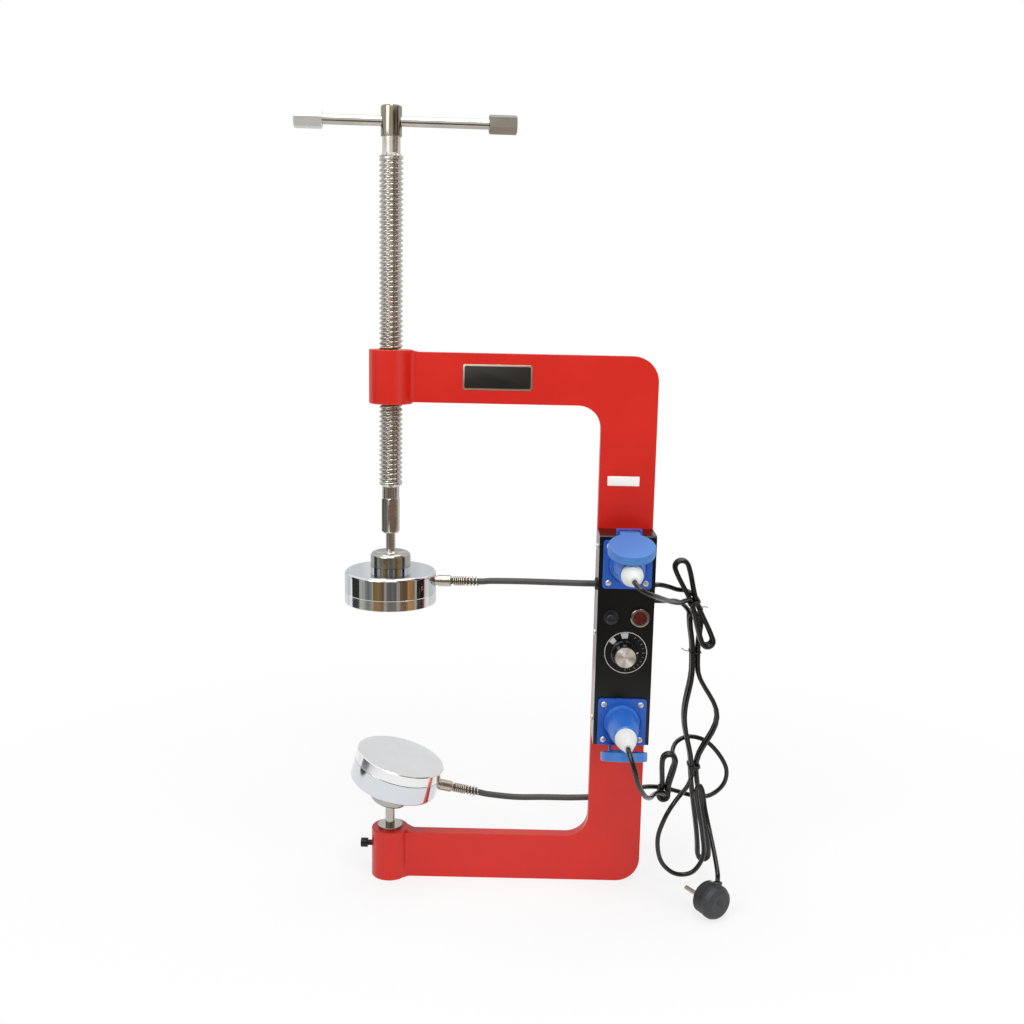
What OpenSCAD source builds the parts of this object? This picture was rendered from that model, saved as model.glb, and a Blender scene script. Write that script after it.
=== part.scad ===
// Tire vulcanizer: a C-frame press whose screw closes two electric heating pads on a tyre patch.
// Millimetres, +Z up, X along the arms, -Y to the front. The origin is where the spindle axis meets the base.

/* [Frame] */
// Height of the frame to the top of the upper arm
frame_h = 572; // [540:1:640]
// Height of each arm
arm_h = 51; // [46:1:54]
// Thickness of the frame casting
frame_t = 14; // [12:1:18]
// Spindle axis to the inner face of the column
throat = 216.5; // [205:0.5:240]
// Width of the column
column_w = 57.5; // [50:0.5:66]
// Radius of the two outer corners
outer_r = 26; // [15:1:40]
// Radius of the two inner corners
inner_r = 24; // [10:1:40]
// Diameter of the boss that carries the spindle
upper_boss_d = 45; // [42:1:56]
// Diameter of the boss that carries the lower heater
lower_boss_d = 40; // [34:1:50]
// Height of both bosses
boss_h = 55; // [55:1:70]
// Rounding of the boss edges
boss_edge_r = 1; // [1:0.5:5]
// Radius of the fillets between a boss and its arm
boss_blend_r = 8; // [4:1:14]

/* [Spindle] */
// Outer diameter of the screw thread
spindle_d = 24; // [20:1:28]
// Length of the threaded part
thread_len = 331; // [300:1:360]
// Wall of the bronze nut pressed into the upper boss
nut_wall = 4; // [3:0.5:6]
// Diameter of the plain neck under the head
neck_d = 18; // [14:1:20]
// Length of the plain neck
neck_h = 17.5; // [10:0.5:30]
// Diameter of the head that holds the tommy bar
head_d = 21; // [18:1:26]
// Height of the head
head_h = 29.5; // [24:0.5:40]
// Length of the plain collar below the thread
collar_len = 13; // [8:1:20]
// Spanner size of the hexagon above the ball
hex_af = 17; // [14:0.5:19]
// Length of the hexagon
hex_h = 37; // [20:1:45]
// Turn of the hexagon from +X
hex_turn = 24; // [0:1:60]
// Diameter of the rod that turns in the ball
rod_d = 10; // [8:0.5:11]
// Ball centre to the underside of the hexagon
rod_len = 29.5; // [26:0.5:40]

/* [Tommy bar] */
// Diameter of the bar
bar_d = 10; // [8:0.5:12]
// Length of the bar over its end caps
bar_len = 220; // [180:1:260]
// How far the bar is pushed through the head
bar_shift = 14.5; // [-50:0.5:50]
// Turn of the bar about the spindle
bar_turn = 5; // [-90:1:90]
// Spanner size of the end caps
cap_af = 17; // [15:0.5:22]
// Turn of the left cap about the bar
left_cap_turn = 24; // [0:1:60]
// Turn of the right cap about the bar
right_cap_turn = 51; // [0:1:60]
// Length of an end cap
cap_len = 28; // [22:1:36]
// Depth of the socket in an end cap
cap_socket = 20; // [12:1:20]

/* [Heaters] */
// Height of the upper heater's face above the base
upper_face_z = 309.5; // [290:0.5:330]
// Diameter of both heaters
heater_d = 96; // [90:1:110]
// Thickness of the aluminium plate
plate_t = 12; // [9:0.5:16]
// Height of the chromed housing
housing_h = 22.5; // [19:0.5:28]
// Rounding of the housing's back edge
housing_edge_r = 4; // [2:0.5:6]
// Chamfers on the plate's edges
plate_chamfer = 0.8; // [0.4:0.1:1.5]
// Diameter of the heating element
element_d = 80; // [60:1:82]
// Thickness of the heating element
element_t = 6; // [4:0.5:7]
// Thickness of the insulation behind the element
insulation_t = 5; // [2:0.5:5]

/* [Ball joints] */
// Diameter of the balls
ball_d = 22; // [20:0.5:24]
// Ball centre above the back of the housing
ball_rise = 10.5; // [9.5:0.5:12]
// Diameter of the ring nut that holds the ball
ring_nut_d = 42; // [38:1:46]
// Height of the ring nut and its seat together
ring_nut_h = 19.5; // [18:0.5:21]
// Rounding of the ring nut's top edge
ring_nut_edge_r = 5; // [2:0.5:6]
// Height of the seat that the ring nut is screwed down to
nut_seat_h = 4; // [3:0.5:5]
// Diameter of the threaded neck inside the ring nut
joint_neck_d = 34; // [28:1:36]
// Angle of the ring nut's lip, seen from the ball's centre
lip_angle = 46; // [44:1:50]
// Radius of the dished mouth of the ring nut
mouth_r = 16; // [12:0.5:17]
// Depth of the rod in the ball, below the ball's centre
spigot_depth = 6; // [4:0.5:7]

/* [Lower stand] */
// Height of the lower ball's centre
lower_ball_z = 93; // [88:1:110]
// Lean of the lower heater, which lies over to its stop
lower_lean = 15.5; // [0:0.5:15.5]
// Direction of that lean, from +X
lean_turn = -4; // [-40:1:40]
// Turn of the lower heater's cable gland, from +X
lower_gland_turn = 10; // [-30:1:30]
// Diameter of the stem
stem_d = 10.5; // [8:0.5:10.5]
// Depth of the stem in the lower boss
stem_seat = 44; // [30:1:48]
// Diameter of the washer on the boss
washer_d = 27; // [20:1:32]
// Thickness of the washer
washer_t = 3; // [2:0.5:4]
// Diameter of the lock screw
lock_d = 6; // [4:0.5:8]
// Diameter of the lock screw's head
lock_head_d = 10; // [9:0.5:13]
// Height of the lock screw's head
lock_head_h = 7.5; // [5:0.5:10]
// Bare shank between the boss and the lock screw's head
lock_reach = 4.5; // [2:0.5:8]
// Height of the lock screw above the base
lock_z = 35; // [28:1:40]
// Spanner size of the socket in the lock screw
lock_key_af = 5; // [3:0.5:6]

/* [Cable glands] */
// Diameter of the gland's barrel
gland_d = 12; // [10:0.5:13]
// Length of the barrel
gland_len = 14.5; // [10:0.5:20]
// Diameter of the gland's neck in the housing
gland_neck_d = 10; // [8:0.5:10]
// Neck that shows between the housing and the barrel
gland_gap = 2; // [1:0.5:4]
// Diameter of the strain-relief spring's wire
wire_d = 1.6; // [1.2:0.1:1.6]
// Curls of the spring that lie close
close_curls = 6; // [3:1:8]
// Curls of the spring that stand open
open_curls = 4; // [2:1:6]
// Rise of a close curl
close_pitch = 2.1; // [2.1:0.1:3]
// Rise of an open curl
open_pitch = 3.6; // [3:0.1:5]

/* [Control box] */
// Width of the box
box_w = 58; // [57:0.5:66]
// Height of the box
box_h = 223; // [220:1:250]
// Depth of the box in front of the frame
box_d = 37.5; // [37:0.5:50]
// Height of the box's underside above the base
box_z = 171; // [150:1:180]
// Thickness of the sheet metal
sheet_t = 1.5; // [1:0.1:2]
// Radius of the folded edges
fold_r = 3; // [2.5:0.5:5]
// Depth of the chassis flanges behind the cover's sides
chassis_flange = 9; // [6:1:10]

/* [Sockets and lids] */
// Width and height of a socket's flange
flange_w = 50; // [48:1:54]
// Thickness of the flange
flange_t = 3; // [2:0.5:4]
// Radius of the flange's corners
flange_r = 3; // [2:0.5:6]
// Top edge of the box to the upper flange
upper_inset = 4.5; // [2:0.5:8]
// Bottom edge of the box to the lower flange
lower_inset = 1.5; // [1:0.5:8]
// Diameter of the recess that takes a plug
recess_d = 39; // [38.5:0.1:40]
// Depth of the recess behind the panel
recess_depth = 10; // [8:0.5:14]
// Depth of the socket's body behind the panel
socket_depth = 31; // [30:0.5:33]
// Wall of the socket's body
socket_wall = 1.5; // [1:0.1:2]
// Height of the rim round the recess
rim_h = 1.2; // [0.5:0.1:2]
// Diameter of a lid
lid_d = 47; // [46:0.5:50]
// Height of a lid
lid_h = 9; // [7:0.5:10]
// Wall of a lid
lid_wall = 2; // [1.5:0.1:2.5]
// Width of a lid's hinge tab
tab_w = 20; // [14:1:24]
// Thickness of the hinge ears
ear_t = 2.4; // [2:0.1:3]
// Socket centre to the hinge pin
hinge_up = 32; // [31.5:0.5:35]
// Panel face to the hinge pin
hinge_out = 7; // [6.5:0.5:8]
// Diameter of a hinge pin
hinge_pin_d = 2.5; // [2:0.1:3]
// Radius of the knuckle round a hinge pin
knuckle_r = 3.2; // [2.5:0.1:3.4]
// Opening angle of the upper lid, which lies on the plug
upper_lid_open = 71; // [71:1:105]
// Opening angle of the lower lid, which leans on the plug
lower_lid_open = 71; // [71:1:105]

/* [Plugs] */
// Diameter of a plug's grip
grip_d = 33; // [30:0.5:33.5]
// Diameter of the grip where the boot begins
grip_end_d = 24.5; // [24:0.5:30]
// Width across the flats of the grip
grip_flat = 31.4; // [28:0.2:33]
// Panel face to the end of the grip
grip_len = 49; // [44:0.5:49]
// Bevel at the grip's end
grip_edge_r = 1.5; // [1:0.5:4]
// Largest diameter of a cable boot
boot_d = 22; // [18:0.5:22]
// Length of a cable boot
boot_len = 28; // [22:0.5:34]
// Diameter of the boot's tip
boot_tip_d = 9; // [7:0.5:12]
// Diameter of the contact pins
contact_d = 4.8; // [4:0.1:5]
// Length of the contact pins
contact_len = 19; // [15:0.5:19]
// Distance between the two contact pins
contact_pitch = 19; // [16:0.5:20]

/* [Panel controls] */
// Height of the fuse holder and the lamp above the box's underside
fuse_up = 138; // [130:1:140]
// Box centre line to the fuse holder
fuse_side = 15; // [13:0.5:17]
// Diameter of the fuse holder's flange
fuse_flange_d = 15.5; // [14:0.5:18]
// Diameter of the fuse cap
fuse_cap_d = 10.5; // [8:0.5:12]
// Height of the fuse cap above the panel
fuse_cap_h = 11; // [6:0.5:14]
// Box centre line to the pilot lamp
lamp_side = 14.5; // [13:0.5:16]
// Diameter of the lamp's bezel
bezel_d = 20; // [16:0.5:21]
// Diameter of the lamp's lens
lens_d = 13.5; // [10:0.5:14]
// Height of the bezel
bezel_h = 4; // [3:0.5:6]
// Height of the timer's shaft above the box's underside
timer_up = 100; // [92:1:102]
// Width of the timer's body
timer_w = 40; // [30:1:44]
// Depth of the timer's body
timer_depth = 22; // [15:1:28]
// Diameter of the timer's shaft
shaft_d = 6; // [5:0.5:7]
// Diameter of the knob's skirt
knob_d = 28; // [24:1:32]
// Diameter of the knob's metal cap
knob_cap_d = 22; // [18:0.5:23]
// Height of the knob
knob_h = 16.5; // [14:0.5:20]
// Direction of the knob's pointer, from +X
pointer_turn = 22; // [-135:1:225]

/* [Cords] */
// Diameter of the heaters' rubber sleeves
sleeve_d = 6.6; // [5:0.2:6.6]
// Diameter of the leads and the mains cord
cord_d = 5; // [4:0.1:5]
// Least room between two turns of a hank
turn_gap = 0.8; // [0.5:0.1:1.2]
// Outer diameter of the grommets
grommet_d = 13; // [11:0.5:15]
// Height of the collar of a grommet
grommet_rim = 2; // [1.5:0.1:3]
// Diameter of the mains plug's round face
plug_face_d = 36; // [32:0.5:38]
// Depth of the mains plug's body
plug_body_h = 24; // [20:0.5:30]

/* [Hidden] */
$fn = 96;

// Clearances: a running fit, a fixed fit, and room between loose pieces
run_fit = 0.05;
fixed_fit = 0.02;
room = 0.3;

// Places that follow from the sizes
column_x = throat + column_w / 2;
upper_boss_z = frame_h - arm_h / 2 - boss_h / 2;
nut_d = spindle_d + 2 * nut_wall;
face_drop = ball_rise + housing_h + plate_t;
upper_ball_z = upper_face_z + face_drop;
hex_z = upper_ball_z + rod_len;
collar_z = hex_z + hex_h;
thread_z = collar_z + collar_len;
neck_z = thread_z + thread_len;
head_z = neck_z + neck_h;
bar_z = head_z + head_h / 2;
gland_drop = ball_rise + housing_h / 2;
gland_x = heater_d / 2 + gland_gap;
gland_end = gland_x + gland_len;
spring_r = sleeve_d / 2 + room + wire_d / 2;
panel_y = -frame_t / 2 - box_d;
upper_socket_z = box_z + box_h - upper_inset - flange_w / 2;
lower_socket_z = box_z + lower_inset + flange_w / 2;
lid_z = flange_t + rim_h + room;
boot_end = grip_len + boot_len;
cord_r = cord_d / 2;
turn_pitch = cord_d + turn_gap;
strand_half = (cord_d + turn_gap) / 2;

// Where the leads pass through the box's walls: depth from the panel, and height
sleeve_hole = [20, 339];
lead_hole = [20, 339];
mains_hole = [20, 322];

// Plain shapes
module round_rect(w, h, r) {
    square([w - 2 * r, h], center = true);
    square([w, h - 2 * r], center = true);
    for (sx = [-1, 1], sy = [-1, 1])
        translate([sx * (w / 2 - r), sy * (h / 2 - r)]) circle(r);
}

// Rectangle from x0 to x1 and from y0 to y1 with both corners at x1 rounded
module right_round(x0, x1, y0, y1, r) {
    translate([x0, y0]) square([x1 - r - x0, y1 - y0]);
    translate([x0, y0 + r]) square([x1 - x0, y1 - y0 - 2 * r]);
    for (y = [y0 + r, y1 - r])
        translate([x1 - r, y]) circle(r);
}

// Disc with a rounded top edge and, where low is over 0, a chamfered bottom edge
module round_disc(r, h, top, low = 0) {
    rotate_extrude() {
        polygon([[0, 0], [r - low, 0], [r, low], [r, h - top], [r - top, h - top], [r - top, h], [0, h]]);
        translate([r - top, h - top]) circle(top);
    }
}

module hexagon(af, h) {
    cylinder(d = af / cos(30), h = h, $fn = 6);
}

// Frame casting
module boss_web(d, h) {
    sink = 0.1;
    half = frame_t / 2 - sink;
    reach = d / 2 - sink + boss_blend_r;
    centre_x = sqrt(reach * reach - pow(half + boss_blend_r, 2));
    share = (d / 2 - sink) / reach;
    linear_extrude(h) for (s = [0, 1]) mirror([0, s]) difference() {
        polygon([[0, 0], [centre_x, 0], [centre_x, half], [share * centre_x, share * (half + boss_blend_r)]]);
        translate([centre_x, half + boss_blend_r]) circle(boss_blend_r);
    }
}

// Low ramp on an arm's top edge, up to its boss, drawn a little thinner than the arm
module boss_ramp(d, low, high) {
    step = high - low - boss_edge_r * 0.7;
    rotate([90, 0, 0]) linear_extrude(frame_t - 0.4, center = true)
        polygon([[0, low - 3], [0, low + step], [d / 2 - 0.5, low + step], [d / 2 + 2, low + 0.55 * step],
            [d / 2 + 4.5, low + 0.2 * step], [d / 2 + 8, low - 0.3], [d / 2 + 8, low - 3]]);
}

module c_frame() {
    color("#c4261d") difference() {
        union() {
            rotate([90, 0, 0]) linear_extrude(frame_t, center = true) difference() {
                right_round(0, throat + column_w, 0, frame_h, outer_r);
                right_round(-1, throat, arm_h, frame_h - arm_h, inner_r);
            }
            translate([0, 0, upper_boss_z]) round_disc(upper_boss_d / 2, boss_h, boss_edge_r, boss_edge_r);
            round_disc(lower_boss_d / 2, boss_h, boss_edge_r, boss_edge_r);
            translate([0, 0, frame_h - arm_h]) boss_web(upper_boss_d, arm_h);
            boss_web(lower_boss_d, arm_h);
            boss_ramp(upper_boss_d, frame_h, upper_boss_z + boss_h);
            boss_ramp(lower_boss_d, arm_h, boss_h);
        }
        translate([0, 0, upper_boss_z - 1]) cylinder(d = nut_d, h = boss_h + 2);
        translate([0, 0, boss_h - stem_seat]) cylinder(d = stem_d + 2 * fixed_fit, h = stem_seat + 1);
        translate([-lower_boss_d / 2 - 1, 0, lock_z]) rotate([0, 90, 0])
            cylinder(d = lock_d + 2 * run_fit, h = lower_boss_d / 2 + 1);
    }
}

module spindle_nut() {
    color("#b08d4a") translate([0, 0, upper_boss_z]) difference() {
        cylinder(d = nut_d - 2 * fixed_fit, h = boss_h);
        translate([0, 0, -1]) cylinder(d = spindle_d + 2 * run_fit, h = boss_h + 2);
    }
}

// Spindle and tommy bar
module spindle() {
    edge = 1.5;
    rod_z = upper_ball_z - spigot_depth + room;
    color("#b9b3a8") difference() {
        union() {
            translate([0, 0, rod_z]) cylinder(d = rod_d, h = collar_z - rod_z + edge);
            intersection() {
                translate([0, 0, hex_z]) rotate([0, 0, hex_turn]) hexagon(hex_af, hex_h);
                translate([0, 0, hex_z]) rotate_extrude() polygon([[0, 0], [hex_af / 2 - 0.3, 0],
                    [hex_af / 2 + edge, edge + 0.3], [hex_af / 2 + edge, hex_h - edge - 0.3],
                    [hex_af / 2 - 0.3, hex_h], [0, hex_h]]);
            }
            rotate_extrude() polygon([[0, collar_z], [spindle_d / 2 - 2 * edge, collar_z],
                [spindle_d / 2 - 2 * edge, thread_z - edge], [spindle_d / 2, thread_z + edge],
                [spindle_d / 2, neck_z - edge], [neck_d / 2, neck_z + edge], [neck_d / 2, head_z],
                [head_d / 2, head_z], [head_d / 2, head_z + head_h - edge],
                [head_d / 2 - edge, head_z + head_h], [0, head_z + head_h]]);
        }
        translate([0, 0, bar_z]) rotate([0, 90, bar_turn])
            cylinder(d = bar_d + 2 * run_fit, h = 2 * head_d, center = true);
    }
}

module along_bar(x) {
    translate([0, 0, bar_z]) rotate([0, 90, bar_turn]) translate([0, 0, x + bar_shift]) children();
}

module tommy_bar() {
    color("#bdb7ac") along_bar(0)
        cylinder(d = bar_d, h = bar_len - 2 * (cap_len - cap_socket), center = true);
}

// End cap whose socket opens towards the head
module bar_cap(side, turn) {
    color("#c9c5bd") along_bar(side * bar_len / 2) mirror([0, 0, side > 0 ? 1 : 0]) difference() {
        intersection() {
            rotate([0, 0, turn]) hexagon(cap_af, cap_len);
            rotate_extrude() polygon([[0, 0], [cap_af / 2 - 0.5, 0], [cap_af / 2 + 1.5, 1.2],
                [cap_af / 2 + 1.5, cap_len - 1.2], [cap_af / 2 - 0.5, cap_len], [0, cap_len]]);
        }
        translate([0, 0, cap_len - cap_socket]) cylinder(d = bar_d + 2 * fixed_fit, h = cap_socket + 1);
    }
}

module bar_cap_left() {
    bar_cap(-1, left_cap_turn);
}

module bar_cap_right() {
    bar_cap(1, right_cap_turn);
}

module swivel_ball() {
    color("#c4c2bd") translate([0, 0, upper_ball_z]) difference() {
        sphere(d = ball_d);
        translate([0, 0, -spigot_depth]) cylinder(d = rod_d + 2 * run_fit, h = ball_d);
    }
}

// Heater pieces lie about the ball's centre, with the plate's face at -face_drop
module heater_plate() {
    r = heater_d / 2;
    color("#d6d7d5") translate([0, 0, -face_drop]) rotate_extrude() polygon([[0, 0], [r - plate_chamfer, 0],
        [r, plate_chamfer], [r, plate_t - plate_chamfer], [r - plate_chamfer, plate_t], [0, plate_t]]);
}

module heater_housing() {
    cavity_h = element_t + insulation_t;
    color("#c8cacc") difference() {
        union() {
            translate([0, 0, -ball_rise - housing_h]) round_disc(heater_d / 2, housing_h, housing_edge_r);
            translate([0, 0, -ball_rise]) cylinder(d = ring_nut_d, h = nut_seat_h);
            translate([0, 0, -ball_rise]) cylinder(d = joint_neck_d, h = ball_rise - 2 * room);
        }
        translate([0, 0, -ball_rise - housing_h - 1]) cylinder(d = element_d + 2 * room, h = cavity_h + 1);
        sphere(d = ball_d + 2 * run_fit);
        translate([element_d / 2, 0, -gland_drop]) rotate([0, 90, 0])
            cylinder(d = gland_neck_d + 2 * fixed_fit, h = heater_d);
    }
}

module heater_element() {
    color("#8d6a4f") translate([0, 0, -ball_rise - housing_h]) cylinder(d = element_d, h = element_t);
}

module heater_insulation() {
    color("#e3ded2") translate([0, 0, -ball_rise - housing_h + element_t])
        cylinder(d = element_d, h = insulation_t);
}

module ring_nut() {
    low = nut_seat_h - ball_rise + room;
    top = ring_nut_h - ball_rise;
    seat_r = ball_d / 2 + run_fit;
    lip_r = seat_r * sin(lip_angle);
    lip_z = seat_r * cos(lip_angle);
    color("#c2c4c6") difference() {
        translate([0, 0, low]) round_disc(ring_nut_d / 2, top - low, ring_nut_edge_r);
        translate([0, 0, low - 1]) cylinder(d = joint_neck_d + 2 * fixed_fit, h = 1 - low - room);
        sphere(r = seat_r);
        translate([0, 0, lip_z]) cylinder(r1 = lip_r, r2 = mouth_r, h = top - lip_z + 0.01);
        cylinder(r = lip_r, h = top);
    }
}

module gland() {
    neck_x = element_d / 2 + 2 * room;
    color("#bcae97") translate([0, 0, -gland_drop]) rotate([0, 90, 0]) {
        translate([0, 0, neck_x]) cylinder(d = gland_neck_d, h = gland_x - neck_x);
        translate([0, 0, gland_x]) rotate_extrude() polygon([[0, 0], [gland_d / 2, 0],
            [gland_d / 2, gland_len - 1.5],
            [gland_d / 2 - 1, gland_len], [0, gland_len]]);
    }
}

module upper_pose() {
    translate([0, 0, upper_ball_z]) children();
}

module lower_pose() {
    translate([0, 0, lower_ball_z]) rotate([0, 0, lean_turn]) rotate([0, lower_lean, 0])
        rotate([0, 0, lower_gland_turn - lean_turn]) rotate([180, 0, 0]) children();
}

// Point and direction of the lower gland's axis, turned as lower_pose turns the heater
function turn_z(v, a) = [v.x * cos(a) - v.y * sin(a), v.x * sin(a) + v.y * cos(a), v.z];
function turn_y(v, a) = [v.x * cos(a) + v.z * sin(a), v.y, v.z * cos(a) - v.x * sin(a)];
function lower_turn(v) =
    turn_z(turn_y(turn_z([v.x, -v.y, -v.z], lower_gland_turn - lean_turn), lower_lean), lean_turn);
function lower_gland_at(x) = [0, 0, lower_ball_z] + lower_turn([x, 0, -gland_drop]);

// Tubes: rings of n sides along a path, with the seam held by a reference direction at each ring
function unit(v) = v / norm(v);
function path_dirs(path, first, last) = [for (i = [0 : len(path) - 1])
    i == 0 ? first : i == len(path) - 1 ? last : unit(path[i + 1] - path[i - 1])];
function tube_ring(centre, dir, ref, r, n) = let (a = unit(cross(dir, ref)), b = cross(a, dir))
    [for (k = [0 : n - 1]) centre + r * (cos(360 * k / n) * a + sin(360 * k / n) * b)];

module tube(path, dirs, refs, r, n) {
    rings = len(path);
    points = [for (i = [0 : rings - 1]) each tube_ring(path[i], dirs[i], refs[i], r, n)];
    walls = [for (i = [0 : rings - 2], k = [0 : n - 1]) let (a = i * n + k, b = i * n + (k + 1) % n)
        each [[a, b, b + n], [a, b + n, a + n]]];
    caps = [for (k = [1 : n - 2]) each [[0, k + 1, k], (rings - 1) * n * [1, 1, 1] + [0, k, k + 1]]];
    polyhedron(points = points, faces = concat(walls, caps), convexity = 10);
}

// Curve through a route's points: steps rings for each stretch between two points
function curve_point(a, b, c, d, t) = 0.5 * (2 * b + (c - a) * t + (2 * a - 5 * b + 4 * c - d) * t * t
    + (3 * b - a - 3 * c + d) * t * t * t);
function curve(route, steps) = let (last = len(route) - 1) [for (i = [0 : last - 1], s = [0 : steps - 1])
    curve_point(route[max(i - 1, 0)], route[i], route[i + 1], route[min(i + 2, last)], s / steps),
    route[last]];

module cord(route, d, ref) {
    path = curve(route, 2);
    last = len(route) - 1;
    dirs = path_dirs(path, unit(route[1] - route[0]), unit(route[last] - route[last - 1]));
    tube(path, dirs, [for (p = path) ref], d / 2, 8);
}

// Strain-relief spring: close curls, then open ones, with straight ends along the gland
function spring_rise(t) = close_pitch * min(t, close_curls) + open_pitch * max(t - close_curls, 0);
spring_curls = close_curls + open_curls;
spring_steps = 8;
spring_path = [for (i = [0 : spring_curls * spring_steps]) let (t = i / spring_steps, a = 360 * t)
    [gland_end + wire_d + spring_rise(t), spring_r * cos(a), spring_r * sin(a)]];
spring_len = 2 * wire_d + spring_rise(spring_curls);

module gland_spring() {
    body = concat([[gland_end, spring_r, 0]], spring_path, [[gland_end + spring_len, spring_r, 0]]);
    refs = [for (p = body) unit([0, p.y, p.z])];
    color("#a79c8a") translate([0, 0, -gland_drop])
        tube(body, path_dirs(body, [1, 0, 0], [1, 0, 0]), refs, wire_d / 2, 6);
}

// Lower stand
module lower_stem() {
    low = boss_h - stem_seat;
    color("#c9cacb") {
        translate([0, 0, low]) cylinder(d = stem_d, h = lower_ball_z - low);
        translate([0, 0, lower_ball_z]) sphere(d = ball_d);
    }
}

module stem_washer() {
    color("#d2d3d3") translate([0, 0, boss_h]) difference() {
        cylinder(d = washer_d, h = washer_t);
        translate([0, 0, -1]) cylinder(d = stem_d + 2 * fixed_fit, h = washer_t + 2);
    }
}

module lock_screw() {
    head_x = -lower_boss_d / 2 - lock_reach - lock_head_h;
    color("#232323") translate([head_x, 0, lock_z]) rotate([0, 90, 0]) difference() {
        union() {
            rotate_extrude() polygon([[0, 0], [lock_head_d / 2 - 0.6, 0], [lock_head_d / 2, 0.6],
                [lock_head_d / 2, lock_head_h], [0, lock_head_h]]);
            cylinder(d = lock_d, h = -head_x - stem_d / 2 - room);
        }
        translate([0, 0, -1]) hexagon(lock_key_af, lock_head_h / 2 + 1);
    }
}

// Control box: profiles are drawn with depth to the right and height up, and extruded across
module across_box(w) {
    translate([column_x, -frame_t / 2, 0]) rotate([90, 0, -90]) linear_extrude(w, center = true) children();
}

module on_panel(side, up) {
    translate([column_x + side, panel_y, box_z + up]) rotate([90, 0, 0]) children();
}

module through_wall(side, hole) {
    translate([column_x + side * box_w / 2, panel_y + hole[0], hole[1]]) rotate([0, side * 90, 0]) children();
}

upper_up = upper_socket_z - box_z;
lower_up = lower_socket_z - box_z;
socket_body_d = recess_d + 2 * socket_wall;
fuse_thread_d = 12;
lamp_body_d = bezel_d - 4;
grommet_neck_d = grommet_d - 3;

module box_cover() {
    color("#1d1d1b") difference() {
        across_box(box_w) right_round(0, box_d, box_z, box_z + box_h, fold_r);
        across_box(box_w - 2 * sheet_t)
            right_round(-1, box_d - sheet_t, box_z + sheet_t, box_z + box_h - sheet_t, fold_r - sheet_t);
        for (up = [upper_up, lower_up])
            on_panel(0, up) cylinder(d = socket_body_d + 2 * room, h = 4 * sheet_t, center = true);
        on_panel(-fuse_side, fuse_up) cylinder(d = fuse_thread_d + 2 * room, h = 4 * sheet_t, center = true);
        on_panel(lamp_side, fuse_up) cylinder(d = lamp_body_d + 2 * room, h = 4 * sheet_t, center = true);
        on_panel(0, timer_up) cylinder(d = shaft_d + 2, h = 4 * sheet_t, center = true);
        through_wall(-1, sleeve_hole)
            cylinder(d = grommet_neck_d + 2 * fixed_fit, h = 4 * sheet_t, center = true);
        for (hole = [lead_hole, mains_hole])
            through_wall(1, hole)
                cylinder(d = grommet_neck_d + 2 * fixed_fit, h = 4 * sheet_t, center = true);
    }
}

module box_chassis() {
    inner_w = box_w - 2 * sheet_t - 2 * fixed_fit;
    color("#b4b6b8") translate([column_x, -frame_t / 2, box_z + sheet_t + fixed_fit])
        linear_extrude(box_h - 2 * sheet_t - 2 * fixed_fit) {
            translate([-inner_w / 2, -sheet_t]) square([inner_w, sheet_t]);
            for (x = [-inner_w / 2, inner_w / 2 - sheet_t])
                translate([x, -chassis_flange]) square([sheet_t, chassis_flange]);
        }
}

// Socket: flange on the panel, round body behind it, recess for the plug, and ears for the lid's hinge
module panel_socket() {
    ear_x = tab_w / 2 + room;
    ear_top = hinge_up + knuckle_r + 1.8;
    color("#2652a4") difference() {
        union() {
            linear_extrude(flange_t) round_rect(flange_w, flange_w, flange_r);
            cylinder(d = socket_body_d, h = flange_t + rim_h);
            translate([0, 0, -socket_depth]) cylinder(d = socket_body_d, h = socket_depth);
            for (x = [-ear_x - ear_t, ear_x])
                translate([x, flange_w / 2 - flange_r, 0])
                    cube([ear_t, ear_top - flange_w / 2 + flange_r, hinge_out + knuckle_r]);
            translate([-ear_x - ear_t, ear_top - 1.4, 0]) cube([2 * (ear_x + ear_t), 1.4, hinge_out - 2]);
        }
        translate([0, 0, -recess_depth]) cylinder(d = recess_d, h = recess_depth + flange_t + rim_h + 1);
        for (x = [-1, 1])
            translate([x * contact_pitch / 2, 0, -recess_depth - contact_len - room])
                cylinder(d = contact_d + 2 * run_fit, h = contact_len + room + 1);
        translate([0, hinge_up, hinge_out]) rotate([0, 90, 0])
            cylinder(d = hinge_pin_d + 2 * fixed_fit, h = 2 * flange_w, center = true);
    }
}

module lid_pin() {
    color("#c0c0c0") translate([0, hinge_up, hinge_out]) rotate([0, 90, 0])
        cylinder(d = hinge_pin_d, h = tab_w + 2 * (room + ear_t), center = true);
}

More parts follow.
